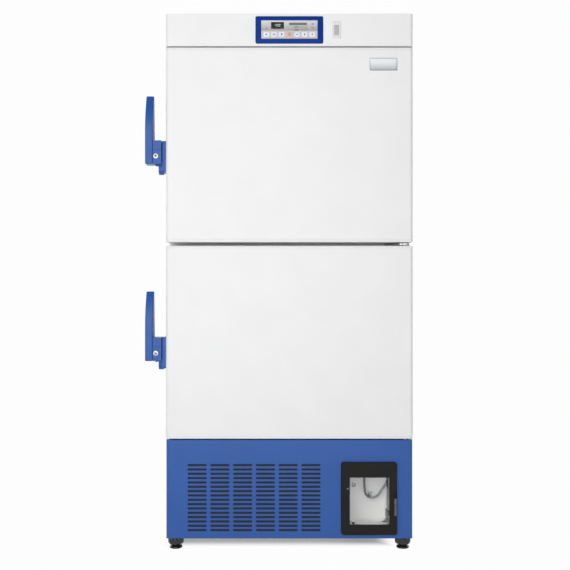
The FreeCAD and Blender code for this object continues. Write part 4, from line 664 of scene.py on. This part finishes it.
BASE_FRONT = 10.0
BASE_LOW = 42.0
BASE_TOP = 389.0
BASE_FOLD = 12  # depth of its lower fold
BASE_LEDGE = 16  # depth of the strip along its top
SLOT_COLUMNS = 6
SLOT_ROWS = 16
SLOT_LENGTH = 67.0
SLOT_HEIGHT = 7.6
SLOT_CORNER = 3.4
FIRST_SLOT = (-324.8, 71.5)
SLOT_PITCH = (80.2, 15.26)
BAY_X = 280.0
BAY_LOW = 57.3
BAY_WIDTH = 196.0
BAY_HEIGHT = 254.0
BAY_MIDDLE = BAY_LOW + BAY_HEIGHT / 2
BAY_HOLE = (78, 117)
bm = bmesh.new()
bent_sheet(bm, BASE_FRONT, FACE, BASE_LOW, BASE_TOP - SHEET)
prism(bm, front_profile(SIDE, EDGE_RADIUS, BASE_FRONT, BASE_FRONT + BASE_LEDGE), "xy",
      BASE_TOP - SHEET, BASE_TOP, FRONT_STEPS)
block(bm, -SIDE + SHEET, SIDE - SHEET, BASE_FRONT + SHEET, BASE_FRONT + BASE_FOLD, BASE_LOW, BASE_LOW + SHEET)
base = piece("base_front", bm, "cabinet", "base_blue", replaces=["base_panel"], bevel=0.45, segments=2)
cutter = bmesh.new()
for column in range(SLOT_COLUMNS):
    for row in range(SLOT_ROWS):
        x, z = FIRST_SLOT[0] + SLOT_PITCH[0] * column, FIRST_SLOT[1] + SLOT_PITCH[1] * row
        opening(cutter, around(x, z, SLOT_LENGTH / 2, SLOT_HEIGHT / 2, SLOT_CORNER), BASE_FRONT, 5)
opening(cutter, around(BAY_X, BAY_MIDDLE, *BAY_HOLE), BASE_FRONT)
carve(base, cutter)
boxes("base_deck", [(-SIDE + 2 * SHEET, SIDE - 2 * SHEET, BASE_FRONT + BASE_FOLD, FACE, BASE_TOP - 2.6,
                     BASE_TOP - 1.4)], "cabinet", "base_blue", bevel=0.3)
# Near-black sheet just behind the louvre slots: painted shade that makes the slots read dark.
boxes("slot_shade_sheet", [(-366, 118, BASE_FRONT + 3, BASE_FRONT + 15, 60, 312)], "cabinet", "foot_black",
      DARK_HOLE, bevel=1.0)

# Control panel
OVERLAY_FACE = -5.8
PRINT = 0.12  # thickness of printed marks
CONTROL_HALF, CONTROL_RISE = 119.0, 48.0
BEZEL_SECTION = ((0, 0), (0, -2.2), (0.5, -2.8), (1.4, -3.2), (15.2, -8.4), (16.4, -8.9), (17.0, -9.0),
                 (17.6, -8.9), (18.2, -8.3), (20.4, -5.9), (20.5, -5.6), (20.5, 0), (0, 0))
BEZEL_RISE = 16.2 / 20.5  # height of the top and bottom strips over the width of the side ones
bm = bmesh.new()
closed_frame(bm, [(around(0, CONTROL_Z, CONTROL_HALF - inset, CONTROL_RISE - inset * BEZEL_RISE,
                          max(0.6, 6.0 - inset * 0.45)), y) for inset, y in BEZEL_SECTION])
piece("control_surround", bm, "cabinet", "bezel_blue", replaces=["control_bezel"], sharp=50)


def panel_print(name, shapes, ink, thickness=PRINT):
    """Printed marks on the panel's film."""
    flat(name, shapes, OVERLAY_FACE, thickness, "cabinet", "overlay_silver", ink)


panel_print("key_strip", [(-98.2, 98.2, 1798.5, 1825.8)], STRIP, PRINT / 2)
panel_print("panel_print", [
    (17, 61.6, 1838.2, 1839.2), (60.6, 61.6, 1829.4, 1838.4), (40, 61.6, 1828.6, 1829.6),
    (17, 31, 1837.4, 1840.2), (17, 33, 1827.4, 1830.4), (78, 81, 1835, 1837), (83, 86, 1834.4, 1837.6),
    [(-82.4, 1832.0), (-77.4, 1832.0), (-79.9, 1836.0)],
], INK_DARK)
panel_print("panel_bar", [(-1.1, 61.6, 1845.2, 1854.1, 0.8)], INK_GREY)
panel_print("panel_mark", [(77.6, 85, 1847.6, 1851.4, 1.6)], INK_BLUE)
panel_print("panel_lines", [(x - 0.35, x + 0.35, 1827.5, 1860.5) for x in (-68.4, -14.6, 70.8)], STRIP,
            PRINT / 2)

# Read-out
SEGMENTS = {"-": "g", "4": "bcfg", "0": "abcdef"}
DISPLAY_FACE = -6.0
DIGIT_Z = 1840.4
DIGIT_WIDTH = 4.2
DIGIT_HEIGHT = 9.0
DIGIT_PITCH = 5.6
STROKE = 1.0


def digit(symbol, x):
    """Bars of one seven-segment digit."""
    right, top = x + DIGIT_WIDTH, DIGIT_Z + DIGIT_HEIGHT
    middle = DIGIT_Z + DIGIT_HEIGHT / 2
    across = (x + STROKE, right - STROKE)
    upper = (middle + STROKE / 3, top - STROKE / 3)
    lower = (DIGIT_Z + STROKE / 3, middle - STROKE / 3)
    bars = {
        "a": (*across, top - STROKE, top),
        "g": (*across, middle - STROKE / 2, middle + STROKE / 2),
        "d": (*across, DIGIT_Z, DIGIT_Z + STROKE),
        "b": (right - STROKE, right, *upper),
        "c": (right - STROKE, right, *lower),
        "f": (x, x + STROKE, *upper),
        "e": (x, x + STROKE, *lower),
    }
    return [bars[segment] for segment in SEGMENTS[symbol]]


shapes = []
x = -54.5
for symbol in "-40.0":
    if symbol == ".":
        shapes.append((x - 0.7, x + 0.5, DIGIT_Z, DIGIT_Z + 1.2))
        x += 1.3
        continue
    shapes += digit(symbol, x)
    x += DIGIT_PITCH
shapes.append((x + 0.2, x + 1.6, 1847.8, 1849.2, 0.5))
shapes += [(-60.5 + 4.6 * i, -58.8 + 4.6 * i, 1834.6, 1835.4, 0.3) for i in (0, 3, 7)]
flat("read_out", shapes, DISPLAY_FACE, 0.1, "cabinet", "display_dark", GLOW)


# Keys
def disc(x, z, radius, sides=14):
    """Corners of a small round mark."""
    turns = [2 * math.pi * i / sides for i in range(sides)]
    return [(x + radius * math.cos(turn), z + radius * math.sin(turn)) for turn in turns]


def moved(shape, x, z):
    """Mark moved in its plane, a bar's edges or a list of corners."""
    if isinstance(shape, tuple):
        return (x + shape[0], x + shape[1], z + shape[2], z + shape[3], *shape[4:])
    return [(x + u, z + v) for u, v in shape]


KEY_Z = 1812.6
KEY_PITCH = 26.8
KEY_HALF, KEY_RISE = 10, 8.5
KEY_FACE = -7.4
KEY_LEVELS = ((-4.2, 0.0), (-6.4, 0.0), (-7.0, 0.35), (-7.32, 0.9), (KEY_FACE, 1.8))  # depth and inset
MIDDLE_KEY = 4  # the pink one
OVAL_KEY = 5
ICONS = [  # generic marks about the middle of a key: silence, set, lamp, alarm, scroll, raise and lower
    [(-4, -1.2, -1.8, 1.8), [(-1.2, -1.8), (2.2, -4), (2.2, 4), (-1.2, 1.8)]],
    [(-5.2, 5.2, 1.4, 2.8), (-5.2, 1.5, -1.0, 0.2), disc(3.8, -0.6, 1.4), (-5.2, 5.2, -3.4, -2.2)],
    [disc(0, 1.4, 3.0), (-1.6, 1.6, -4.0, -2.2)],
    [disc(0, -3.0, 1.7), (-1.1, 1.1, -2.0, 5.2, 1.0), (-4.4, -3.4, -2, 2), (3.4, 4.4, -2, 2)],
    [[(-5.4, 0), (-2.0, -2.6), (-2.0, 2.6)], [(5.4, 0), (2.0, 2.6), (2.0, -2.6)], (-2.2, 2.2, -0.7, 0.7)],
    [[(0, 4.0), (-3.6, -0.4), (3.6, -0.4)], (-1.2, 1.2, -3.8, -0.2)],
    [[(0, -3.4), (3.6, 1.0), (-3.6, 1.0)], (-3.6, 3.6, 2.0, 3.2)],
]
for number, marks in enumerate(ICONS, 1):
    x = (number - MIDDLE_KEY) * KEY_PITCH
    slot, ink = ("key_pink", INK_RED) if number == MIDDLE_KEY else ("key_white", INK_BLUE)
    radius = 8.2 if number == OVAL_KEY else 3.6
    bm = bmesh.new()
    loft(bm, [(around(x, KEY_Z, KEY_HALF - inset, KEY_RISE - inset, max(0.8, radius - inset)), y)
              for y, inset in KEY_LEVELS], "xz", 7)
    piece(f"key_cap_{number}", bm, f"key_{number}", slot, replaces=[f"control_key_{number}"], sharp=50)
    flat(f"key_icon_{number}", [moved(mark, x, KEY_Z) for mark in marks], KEY_FACE, 0.1, f"key_{number}",
         slot, ink)

# Data port; its section gives half width, half height, corner radius and depth
PORT_SECTION = ((15.5, 30, 3.0, 0), (15.5, 30, 3.0, -1.6), (15.0, 29.5, 2.6, -2.2), (14.2, 28.7, 2.2, -2.5),
                (8.5, 17.5, 1.2, -2.5), (8.0, 17.0, 1.0, -2.1), (8.0, 17.0, 1.0, 10), (15.5, 30, 3.0, 10.2),
                (15.5, 30, 3.0, 0))
FLAP_Z = 1830.3
FLAP_HALF, FLAP_RISE = 7.6, 16.3
FLAP_LEVELS = ((-0.2, 0), (-1.8, 0), (-2.3, 0.5), (-2.4, 1.2))  # depth and inset
bm = bmesh.new()
closed_frame(bm, [(around(PORT_X, CONTROL_Z, half, rise, radius), y)
                  for half, rise, radius, y in PORT_SECTION])
block(bm, PORT_X - 9, PORT_X + 9, 9.8, 11, CONTROL_Z - 18, CONTROL_Z + 18)
piece("port_surround", bm, "cabinet", "port_grey", replaces=["port_plate"], sharp=50)
bm = bmesh.new()
loft(bm, [(around(PORT_X, FLAP_Z, FLAP_HALF - inset, FLAP_RISE - inset, 1.4), y)
          for y, inset in FLAP_LEVELS], "xz", 5)
block(bm, PORT_X - 3, PORT_X + 3, -3.2, -2.3, 1841.0, 1843.2)
lathe(bm, rod(1.2, -FLAP_HALF, FLAP_HALF), (PORT_X, -1.2, 1814.5), TO_RIGHT, 16)
piece("port_flap", bm, "port_flap", "port_grey", FLAP_GREY, replaces=["port_cover"], sharp=50)

# Blank plate on the upper door
PLATE_X, PLATE_Z = 330.6, 1710.0
PLATE_HALF, PLATE_RISE = 48.5, 22
PLATE_LEVELS = ((0, 0), (-1.1, 0), (-1.7, 0.4), (-2.3, 2.6), (-2.4, 3.4))  # depth and inset
bm = bmesh.new()
loft(bm, [(around(PLATE_X, PLATE_Z, PLATE_HALF - inset, PLATE_RISE - inset, 2.6), y)
          for y, inset in PLATE_LEVELS], "xz", 6)
piece("plate_rim", bm, "upper_door", "plate_silver", replaces=["nameplate"], sharp=50)
flat("plate_blank", [around(PLATE_X, PLATE_Z, 44.6, 18.1, 1.4)], -2.36, 0.1, "upper_door", "plate_silver",
     PLATE_FACE)

# Side handles, with heights over the foot of the grip
GRIP_FRONT, GRIP_BACK = 4.0, 63.5
GRIP_HEIGHT = 245
GRIP_BEND = 120  # where the front edge begins to lean back
GRIP_HEEL = 14  # where the back edge begins
PIVOT_RISE = 8
PIVOT_Y = 32
BORE = 5.3  # radius round the pin
BLOCK_RISE = 83
BLOCK_FRONT = 5
SEAM_RISE = 50.5  # between the lock's plate and the one above
BODY_FRONT, BODY_BACK = 14, 62
BODY_STEP = 23  # where the body widens above the lug
LOCK_RISE = 28
MOUNT_FRONT, MOUNT_BACK = 18, 80
MOUNT_DEPTH = 14  # out from the side of the door


def out(distance):
    """X of a point that far out from the left side of the door."""
    return -SIDE - distance


def grip_outline(z):
    """Outline of the curved grip, seen from the side."""
    count = 14
    front = [(GRIP_FRONT, z), (GRIP_FRONT, z + GRIP_BEND)]
    for i in range(1, count + 1):
        t = i / count
        front.append((GRIP_FRONT + 33.0 * t ** 1.9, z + GRIP_BEND + (GRIP_HEIGHT - GRIP_BEND) * t))
    back = []
    for i in range(count + 1):
        t = 1 - i / count
        back.append((GRIP_BACK - 14.5 * t ** 1.4, z + GRIP_HEEL + (GRIP_HEIGHT - GRIP_HEEL) * t))
    return front + back + [(60.0, z + 3.0), (55.0, z)]


OUTER, MIDDLE, INNER = out(46), out(30.5), out(15.5)  # sides of the lever's body and of its claw
LOCK_X = out(35)
for door, (_, _, z) in DOORS.items():
    body = f"{door}_lever"
    pivot = z + PIVOT_RISE
    top = z + BLOCK_RISE
    bm = bmesh.new()
    prism(bm, grip_outline(z), "yz", out(73), out(46.3))
    piece(f"{door}_grip", bm, body, "handle_blue", replaces=[f"{door}_handle_lever"], bevel=3.2, segments=5)
    boxes(f"{door}_lock_block", [(OUTER, INNER, BLOCK_FRONT, BODY_FRONT, z + 0.4, z + SEAM_RISE - 0.1),
                                 (OUTER, INNER, BLOCK_FRONT + 0.4, BODY_FRONT, z + SEAM_RISE + 0.1, top)],
          body, "handle_blue", bevel=0.6, segments=2)
    bm = bmesh.new()
    prism(bm, [(OUTER, z), (MIDDLE, z), (MIDDLE, z + BODY_STEP), (INNER, z + BODY_STEP), (INNER, top),
               (OUTER, top)], "xz", BODY_FRONT + 0.02, BODY_BACK)
    lever_body = piece(f"{door}_lever_body", bm, body, "handle_blue", bevel=1.2)
    cutter = bmesh.new()
    lathe(cutter, rod(BORE, -2, 18), (MIDDLE, PIVOT_Y, pivot), TO_LEFT, 32)
    carve(lever_body, cutter)
    seat = pivot + 9
    claw = [(50, pivot - 4), (104, pivot - 1, 8), (118, seat), (144, seat), (144, seat + 12),
            (104, seat + 17, 20), (50, pivot + 23)]
    bm = bmesh.new()
    prism(bm, claw, "yz", OUTER, MIDDLE)
    piece(f"{door}_claw", bm, body, "handle_blue", bevel=1.4)

    mount = [(MOUNT_FRONT, z - 23, 0), (MOUNT_FRONT + 4, z - 27, 0), (MOUNT_BACK - 4, z - 27, 3),
             (MOUNT_BACK, z - 23, 0), (MOUNT_BACK, top, 3), (MOUNT_FRONT, top, 3)]
    lug = [(33, z - 33, 16), (64, z - 33, 8), (72, z + 6), (66, z + 21), (PIVOT_Y, z + 21),
           (19, z + 21, 12.9), (19, z - 5, 12.9), (PIVOT_Y, z - 5)]
    bm = bmesh.new()
    prism(bm, mount, "yz", out(MOUNT_DEPTH), out(0), 5)
    prism(bm, lug, "yz", out(29), out(MOUNT_DEPTH - 0.5), 10)
    piece(f"{door}_handle_mount", bm, f"{door}_door", "handle_blue", replaces=[f"{door}_handle_base"],
          bevel=1.4)

    turned(f"{door}_lock_face", [(CORE, 0), (8, 0), (8, -0.1), (10, -0.1), (10, 1.0), (9.3, 1.7), (8.2, 1.9),
                                 (7.8, 1.5), (3.4, 1.5), (3.1, 1.75), (CORE, 1.75)],
           (LOCK_X, BLOCK_FRONT, z + LOCK_RISE), TO_FRONT, 40, f"{door}_lock", "lock_chrome",
           replaces=[f"{door}_lock_barrel"], sharp=40)
    # Grey oval on the lock's face: painted shade of the keyway.
    flat(f"{door}_keyway_shade", [around(LOCK_X, z + LOCK_RISE, 1.9, 3.6, 1.8)], 3.26, 0.06, f"{door}_lock",
         "lock_chrome", INK_GREY)
    screws(f"{door}_handle_screws", f"{door}_door",
           [(out(MOUNT_DEPTH), y, z + rise) for y, rise in ((68, 70), (68, -14), (26, 70))], TO_LEFT, 4.0)
    turned(f"{door}_pivot_boss", [(BORE, 0), (11.4, 0), (13.4, 2.4), (13.4, 7.2), (11.4, 9.6), (BORE, 9.6),
                                  (BORE, 0)],
           (out(30.6), PIVOT_Y, pivot), TO_LEFT, 48, body, "handle_blue", sharp=40)

# Recorder door
DOOR_FRONT, DOOR_BACK = -3.0, 7.0
CHAMFER = 3.2  # on the hinge side
LEFT, RIGHT = BAY_X - BAY_WIDTH / 2, BAY_X + BAY_WIDTH / 2
WINDOW = (212.3, 351.3, 92.5, 259.0)
WINDOW_LAP = 4.3
CATCH_SLOT = (124.6, 208.9)
LUG_INSET = 34
HINGE_LUGS = (BAY_LOW + LUG_INSET, BAY_LOW + BAY_HEIGHT - LUG_INSET)
bm = bmesh.new()
loft(bm, [(rectangle(LEFT + inset, RIGHT, BAY_LOW, BAY_LOW + BAY_HEIGHT, 8), y)
          for y, inset in ((DOOR_FRONT, CHAMFER), (DOOR_FRONT + CHAMFER, 0), (DOOR_BACK - CHAMFER, 0),
                           (DOOR_BACK, CHAMFER))], "xz")
recorder_frame = piece("recorder_frame", bm, "recorder_door", "recorder_black",
                       replaces=["recorder_door_frame"], bevel=0.4, segments=2)
cutter = bmesh.new()
prism(cutter, rectangle(*WINDOW, 2.0), "xz", DOOR_FRONT - 2, DOOR_BACK + 2, 4)
block(cutter, WINDOW[0] - WINDOW_LAP, WINDOW[1] + WINDOW_LAP, DOOR_BACK - 3.5, DOOR_BACK + 2,
      WINDOW[2] - WINDOW_LAP, WINDOW[3] + WINDOW_LAP)
block(cutter, RIGHT - 9.8, RIGHT - 1.2, DOOR_FRONT - 2, DOOR_FRONT + 6, *CATCH_SLOT)
for lug_z in HINGE_LUGS:
    block(cutter, LEFT - 2, LEFT + 8.6, -1.6, DOOR_BACK + 2, lug_z - 9, lug_z + 9)
carve(recorder_frame, cutter)
bm = bmesh.new()
for lug_z in HINGE_LUGS:
    lathe(bm, rod(1.5, -9.2, 9.2), (LEFT + 5, 2, lug_z), UP, 16)
piece("recorder_pins", bm, "recorder_door", "recorder_black", SCREW)

CATCH_LOW = 124.9
catch = boxes("recorder_catch", [(RIGHT - 9.5, RIGHT - 1.5, -3.4, 3.0, CATCH_LOW, CATCH_LOW + 60)],
              "recorder_catch", "latch_grey", replaces=["recorder_latch"], bevel=0.5, segments=2)
cutter = bmesh.new()
for i in range(5):
    z = CATCH_LOW + 20 + 5 * i
    block(cutter, RIGHT - 12, RIGHT, -5, -2.6, z, z + 2.4)
carve(catch, cutter)

# Recorder bay; the tray's levels give inset, height over the back of the bay and corner radius
BAY_BACK = BASE_FRONT + 120.0
TRAY_LEVELS = ((0, 0, 26), (0, 15.4, 26), (0.8, 16, 25.5), (2.2, 15.6, 24), (3.4, 12, 24), (5.0, 5.0, 24),
               (8.0, 2.6, 24), (11.0, 2.2, 24))
bm = bmesh.new()
loft(bm, [(around(BAY_X, BAY_MIDDLE, 74.5 - inset, 113.5 - inset, radius), BAY_BACK - rise)
          for inset, rise, radius in TRAY_LEVELS], "xz", 12)
piece("recorder_back_tray", bm, "cabinet", "tray_white", replaces=["recorder_tray"], sharp=60)
KNOB = (235.2, BAY_BACK - 2.2, 203.5)
turned("tray_knob", [(6.2, 0), (6.2, 3.4), (5.6, 4.6), (4.6, 5.2), (3.4, 4.8), (3.0, 3.6), (2.8, 1.0),
                     (CORE, 1.0)], KNOB, TO_FRONT, 32, "cabinet", "tray_white", LOOK["lock_chrome"], sharp=60)
# Dark ring round the knob: painted shadow.
turned("tray_knob_shadow_ring", tube(6.3, 7.4, 0, 1.6), KNOB, TO_FRONT, 32, "cabinet", "tray_white", DARK_HOLE)

left, right, low, high = 205, 355, 70.3, 298.3
front, back = 12, 113.5
boxes("bay_lining", [
    (left, left + 1, front, back, low, high),
    (left + 1, right - 1.1, front, back, low, low + 1),
    (left + 1, right - 1.1, front, back, high - 1, high),
    (left, right, BAY_BACK - 1.4, BAY_BACK - 0.4, low, high),
], "cabinet", "tray_white", bevel=0.3)
boxes("bay_wall", [(right - 1.1, right, front + 2, back, 71, 297)], "cabinet", "recorder_black", WALL_GREY,
      bevel=0.4)
# Dark strips on the right wall of the bay, above it and beside the catch: painted shade.
boxes("bay_wall_shade", [(352.4, 354, 60, 108, 205, 297), (351.0, 354, 20, 42, 121, 134)], "cabinet",
      "recorder_black", DARK_HOLE, bevel=0.4)
boxes("bay_wall_block", [(349.4, 354, 50, 112, 92, 122)], "cabinet", "recorder_black", INK_GREY, bevel=1.0)
turned("recorder_rivet", [(CORE, 0), (2.6, 0), (2.6, 0.5), (1.8, 0.9), (CORE, 1.0)],
       (204.8, DOOR_FRONT, 220.3), TO_FRONT, 20, "recorder_door", "recorder_black", WALL_GREY)
bm = bmesh.new()
lathe(bm, [(CORE, 0), (5.0, 0), (5.0, 5), (4.2, 7), (CORE, 7.6)], (231.0, 88, 71), UP, 24)
lathe(bm, [(4.1, -0.2), (7.6, -0.2), (7.6, 2.4), (6.2, 4.6), (4.1, 4.6)], (270, 96, 298.4), DOWN, 28)
lathe(bm, [(4.1, -0.2), (7.2, -0.2), (7.2, 1.6), (6.0, 3.2), (4.1, 3.2)], (353.8, 96, 220),
      (-0.85, 0, -0.5), 28)
piece("bay_grommets", bm, "cabinet", "recorder_black", sharp=40)

# Levelling feet
FOOT_X, FOOT_Y = 404.0, 48
FOOT_PAD = [(CORE, 0), (21.6, 0), (22.5, 1.0), (22.5, 4.0), (21.0, 6.5), (16.0, 9.0), (12.5, 12.0),
            (12.5, 14.0), (CORE, 14)]
KNOB_RADIUS, KNOB_LOBE = 23.8, 4.2
KNOB_LOBES = 8
KNOB_LEVELS = ((13.2, 7.0), (15.0, 3.4), (18.0, 1.2), (22.0, 0.2), (33.0, 0.0), (37.5, 0.8), (40.0, 2.6),
               (41.0, 5.5))  # height and inset
THREAD_LOW, THREAD_HIGH, THREAD_PITCH = 41.0, 94, 2.0
STEM_TOP = 96
thread = [(CORE, THREAD_LOW)]
z = THREAD_LOW
while z < THREAD_HIGH:
    thread += [(8.0, z), (8.0, z + 0.7), (7.0, z + 1.25)]
    z += THREAD_PITCH
thread += [(7.0, STEM_TOP), (CORE, STEM_TOP)]


def knob_ring(x, z, inset, points=96):
    """Lobed outline of a foot's hand knob at one height."""
    ring = []
    for i in range(points):
        angle = 2 * math.pi * i / points
        wave = 0.5 + 0.5 * math.cos(KNOB_LOBES * angle)
        reach = KNOB_RADIUS + KNOB_LOBE * (1 - (1 - wave) ** 2.2) - inset
        ring.append(Vector((x + reach * math.cos(angle), FOOT_Y + reach * math.sin(angle), z)))
    return ring


for side, x in (("left", -FOOT_X), ("right", FOOT_X)):
    bm = bmesh.new()
    lathe(bm, FOOT_PAD, (x, FOOT_Y, 0), UP, 48)
    ring_faces(bm, [knob_ring(x, z, inset) for z, inset in KNOB_LEVELS])
    piece(f"{side}_foot_knob", bm, f"{side}_foot", "foot_black", replaces=[f"levelling_foot_{side}"],
          sharp=50)
    turned(f"{side}_foot_stem", thread, (x, FOOT_Y, 0), UP, 28, f"{side}_foot", "foot_black", SCREW)

# Fasteners
HINGE_PLATE_TOP = 1081.5
screws("hinge_screws", "cabinet", [(x, 96, HINGE_PLATE_TOP) for x in (354, 380, 404)], UP, 4.0)
turned("hinge_washer", [(CORE, 0), (9, 0), (9, 1.2), (7.6, 2.0), (CORE, 2.0)], (*HINGE, HINGE_PLATE_TOP),
       UP, 32, "cabinet", "zinc_steel", SCREW, sharp=40)
rear = [(x, DEPTH, z) for x in (-415, -140, 140, 415) for z in (90, 372)]
rear += [(x, DEPTH, z) for x in (-415, 415) for z in (420, 760, 1100, 1440, 1850)]
rear += [(x, DEPTH, z) for x in (-140, 140) for z in (410, 1866)]
screws("rear_screws", "cabinet", rear, TO_BACK, 3.6)
strikes = [(out(3), y, z + rise) for _, _, z in DOORS.values() for y in (116, 158) for rise in (-18, 26)]
screws("strike_screws", "cabinet", strikes, TO_LEFT, 3.6)

# Ground and light
scene.view_settings.view_transform = "Standard"
bm = bmesh.new()
block(bm, -9000, 9000, -7000, 9000, -20, 0)
floor = bpy.data.objects.new("floor", to_mesh("floor", bm))
scene.collection.objects.link(floor)


def ray_kinds(tree):
    """Whether the camera sees a place straight on, and whether a mirror or a pane shows it."""
    path = tree.nodes.new("ShaderNodeLightPath").outputs
    return path["Is Camera Ray"], calc(tree, "MAXIMUM", path["Is Glossy Ray"], path["Is Transmission Ray"])


def emission(tree, strength):
    """Even white glow."""
    node = tree.nodes.new("ShaderNodeEmission")
    node.inputs["Strength"].default_value = strength
    return node.outputs["Emission"]


def vector_sum(tree, operation, first, second=(0, 0, 0)):
    """Result of a sum on a vector, with a plain second one."""
    node = tree.nodes.new("ShaderNodeVectorMath")
    node.operation = operation
    tree.links.new(first, node.inputs[0])
    node.inputs[1].default_value = second
    return node.outputs["Vector"]


def joined(tree, kind, *shaders):
    """Two shaders added, or mixed by a factor that comes first."""
    node = tree.nodes.new(kind)
    for socket, value in zip(node.inputs, shaders):
        tree.links.new(value, socket)
    return node.outputs["Shader"]


# The floor is lit beneath the cabinet and fades into the plain background around it
BACKGROUND = 0.985
FLOOR_LIFT = 0.17
FADE_FROM, FADE_TO = -0.13, -0.05  # metres out from the part's box
material, tree, shader, coords = new_material("floor")
floor.data.materials.append(material)
shader.inputs["Base Color"].default_value = (0.93, 0.93, 0.93, 1)
shader.inputs["Roughness"].default_value = 0.9
shader.inputs["Specular IOR Level"].default_value = 0.0
corner = ((SIDE + SHIFT.x) / 1000, DEPTH / 2000, 0)
beyond = vector_sum(tree, "SUBTRACT", vector_sum(tree, "ABSOLUTE", coords), corner)
sides = tree.nodes.new("ShaderNodeSeparateXYZ")
tree.links.new(beyond, sides.inputs["Vector"])
furthest = calc(tree, "MAXIMUM", sides.outputs["X"], sides.outputs["Y"])
fade = remap(tree, furthest, FADE_FROM, FADE_TO, smooth=True)
lit = joined(tree, "ShaderNodeAddShader", shader.outputs["BSDF"], emission(tree, FLOOR_LIFT))
shown = joined(tree, "ShaderNodeMixShader", fade, lit, emission(tree, BACKGROUND))
seen = calc(tree, "MAXIMUM", *ray_kinds(tree))
tree.links.new(joined(tree, "ShaderNodeMixShader", seen, shader.outputs["BSDF"], shown),
               tree.nodes["Material Output"].inputs["Surface"])

# The world glows from the front; the camera sees plain white, and so do mirrors towards the back
WORLD_FRONT = 0.72
WORLD_REST = 0.18
scene.world = bpy.data.worlds.new("studio")
scene.world.use_nodes = True
tree = scene.world.node_tree
glow = tree.nodes["Background"]
glow.inputs["Color"].default_value = (1, 1, 1, 1)
heading = tree.nodes.new("ShaderNodeSeparateXYZ")
tree.links.new(tree.nodes.new("ShaderNodeTexCoord").outputs["Generated"], heading.inputs["Vector"])
lobe = calc(tree, "POWER", remap(tree, heading.outputs["Y"], 0.1, -1.0), 3.0)
tree.links.new(remap(tree, lobe, 0.0, 1.0, WORLD_REST, WORLD_FRONT), glow.inputs["Strength"])
white = tree.nodes.new("ShaderNodeBackground")
white.inputs["Color"].default_value = (1, 1, 1, 1)
white.inputs["Strength"].default_value = BACKGROUND
seen, bounced = ray_kinds(tree)
backdrop = calc(tree, "MULTIPLY", bounced, remap(tree, heading.outputs["Y"], 0.05, 0.30))
tree.links.new(joined(tree, "ShaderNodeMixShader", calc(tree, "MAXIMUM", seen, backdrop),
                      glow.outputs["Background"], white.outputs["Background"]),
               tree.nodes["World Output"].inputs["Surface"])


def softbox(name, middle, target, width, height, radiance):
    """Rectangular lamp aimed at a point."""
    data = bpy.data.lights.new(name, "AREA")
    data.shape = "RECTANGLE"
    data.size = width / 1000
    data.size_y = height / 1000
    data.energy = radiance * math.pi * data.size * data.size_y
    lamp = bpy.data.objects.new(name, data)
    lamp.location = metres(*middle)
    lamp.rotation_euler = (metres(*target) - metres(*middle)).to_track_quat("-Z", "Y").to_euler()
    scene.collection.objects.link(lamp)


softbox("front_light", (-850, -3700, 1400), (0, 0, 900), 3500, 3500, 2.5)
softbox("rear_left_light", (-3300, 3700, 1800), (0, 600, 1000), 5000, 3600, 1.1)
softbox("rear_right_light", (3300, 3700, 1800), (0, 600, 1000), 5000, 3600, 1.1)
softbox("top_light", (0, 1700, 4400), (0, 500, 1888), 3600, 2400, 1.7)

# Carried solids take their materials
replaced = {name for obj in scene.objects for name in obj.get("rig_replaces", [])}
for entry in frame["record"]["subparts"]:
    if entry["node"] not in replaced:
        solid = frame["nodes"][entry["node"]]
        solid.data.materials.clear()
        solid.data.materials.append(LOOK[entry["material_slot"]])
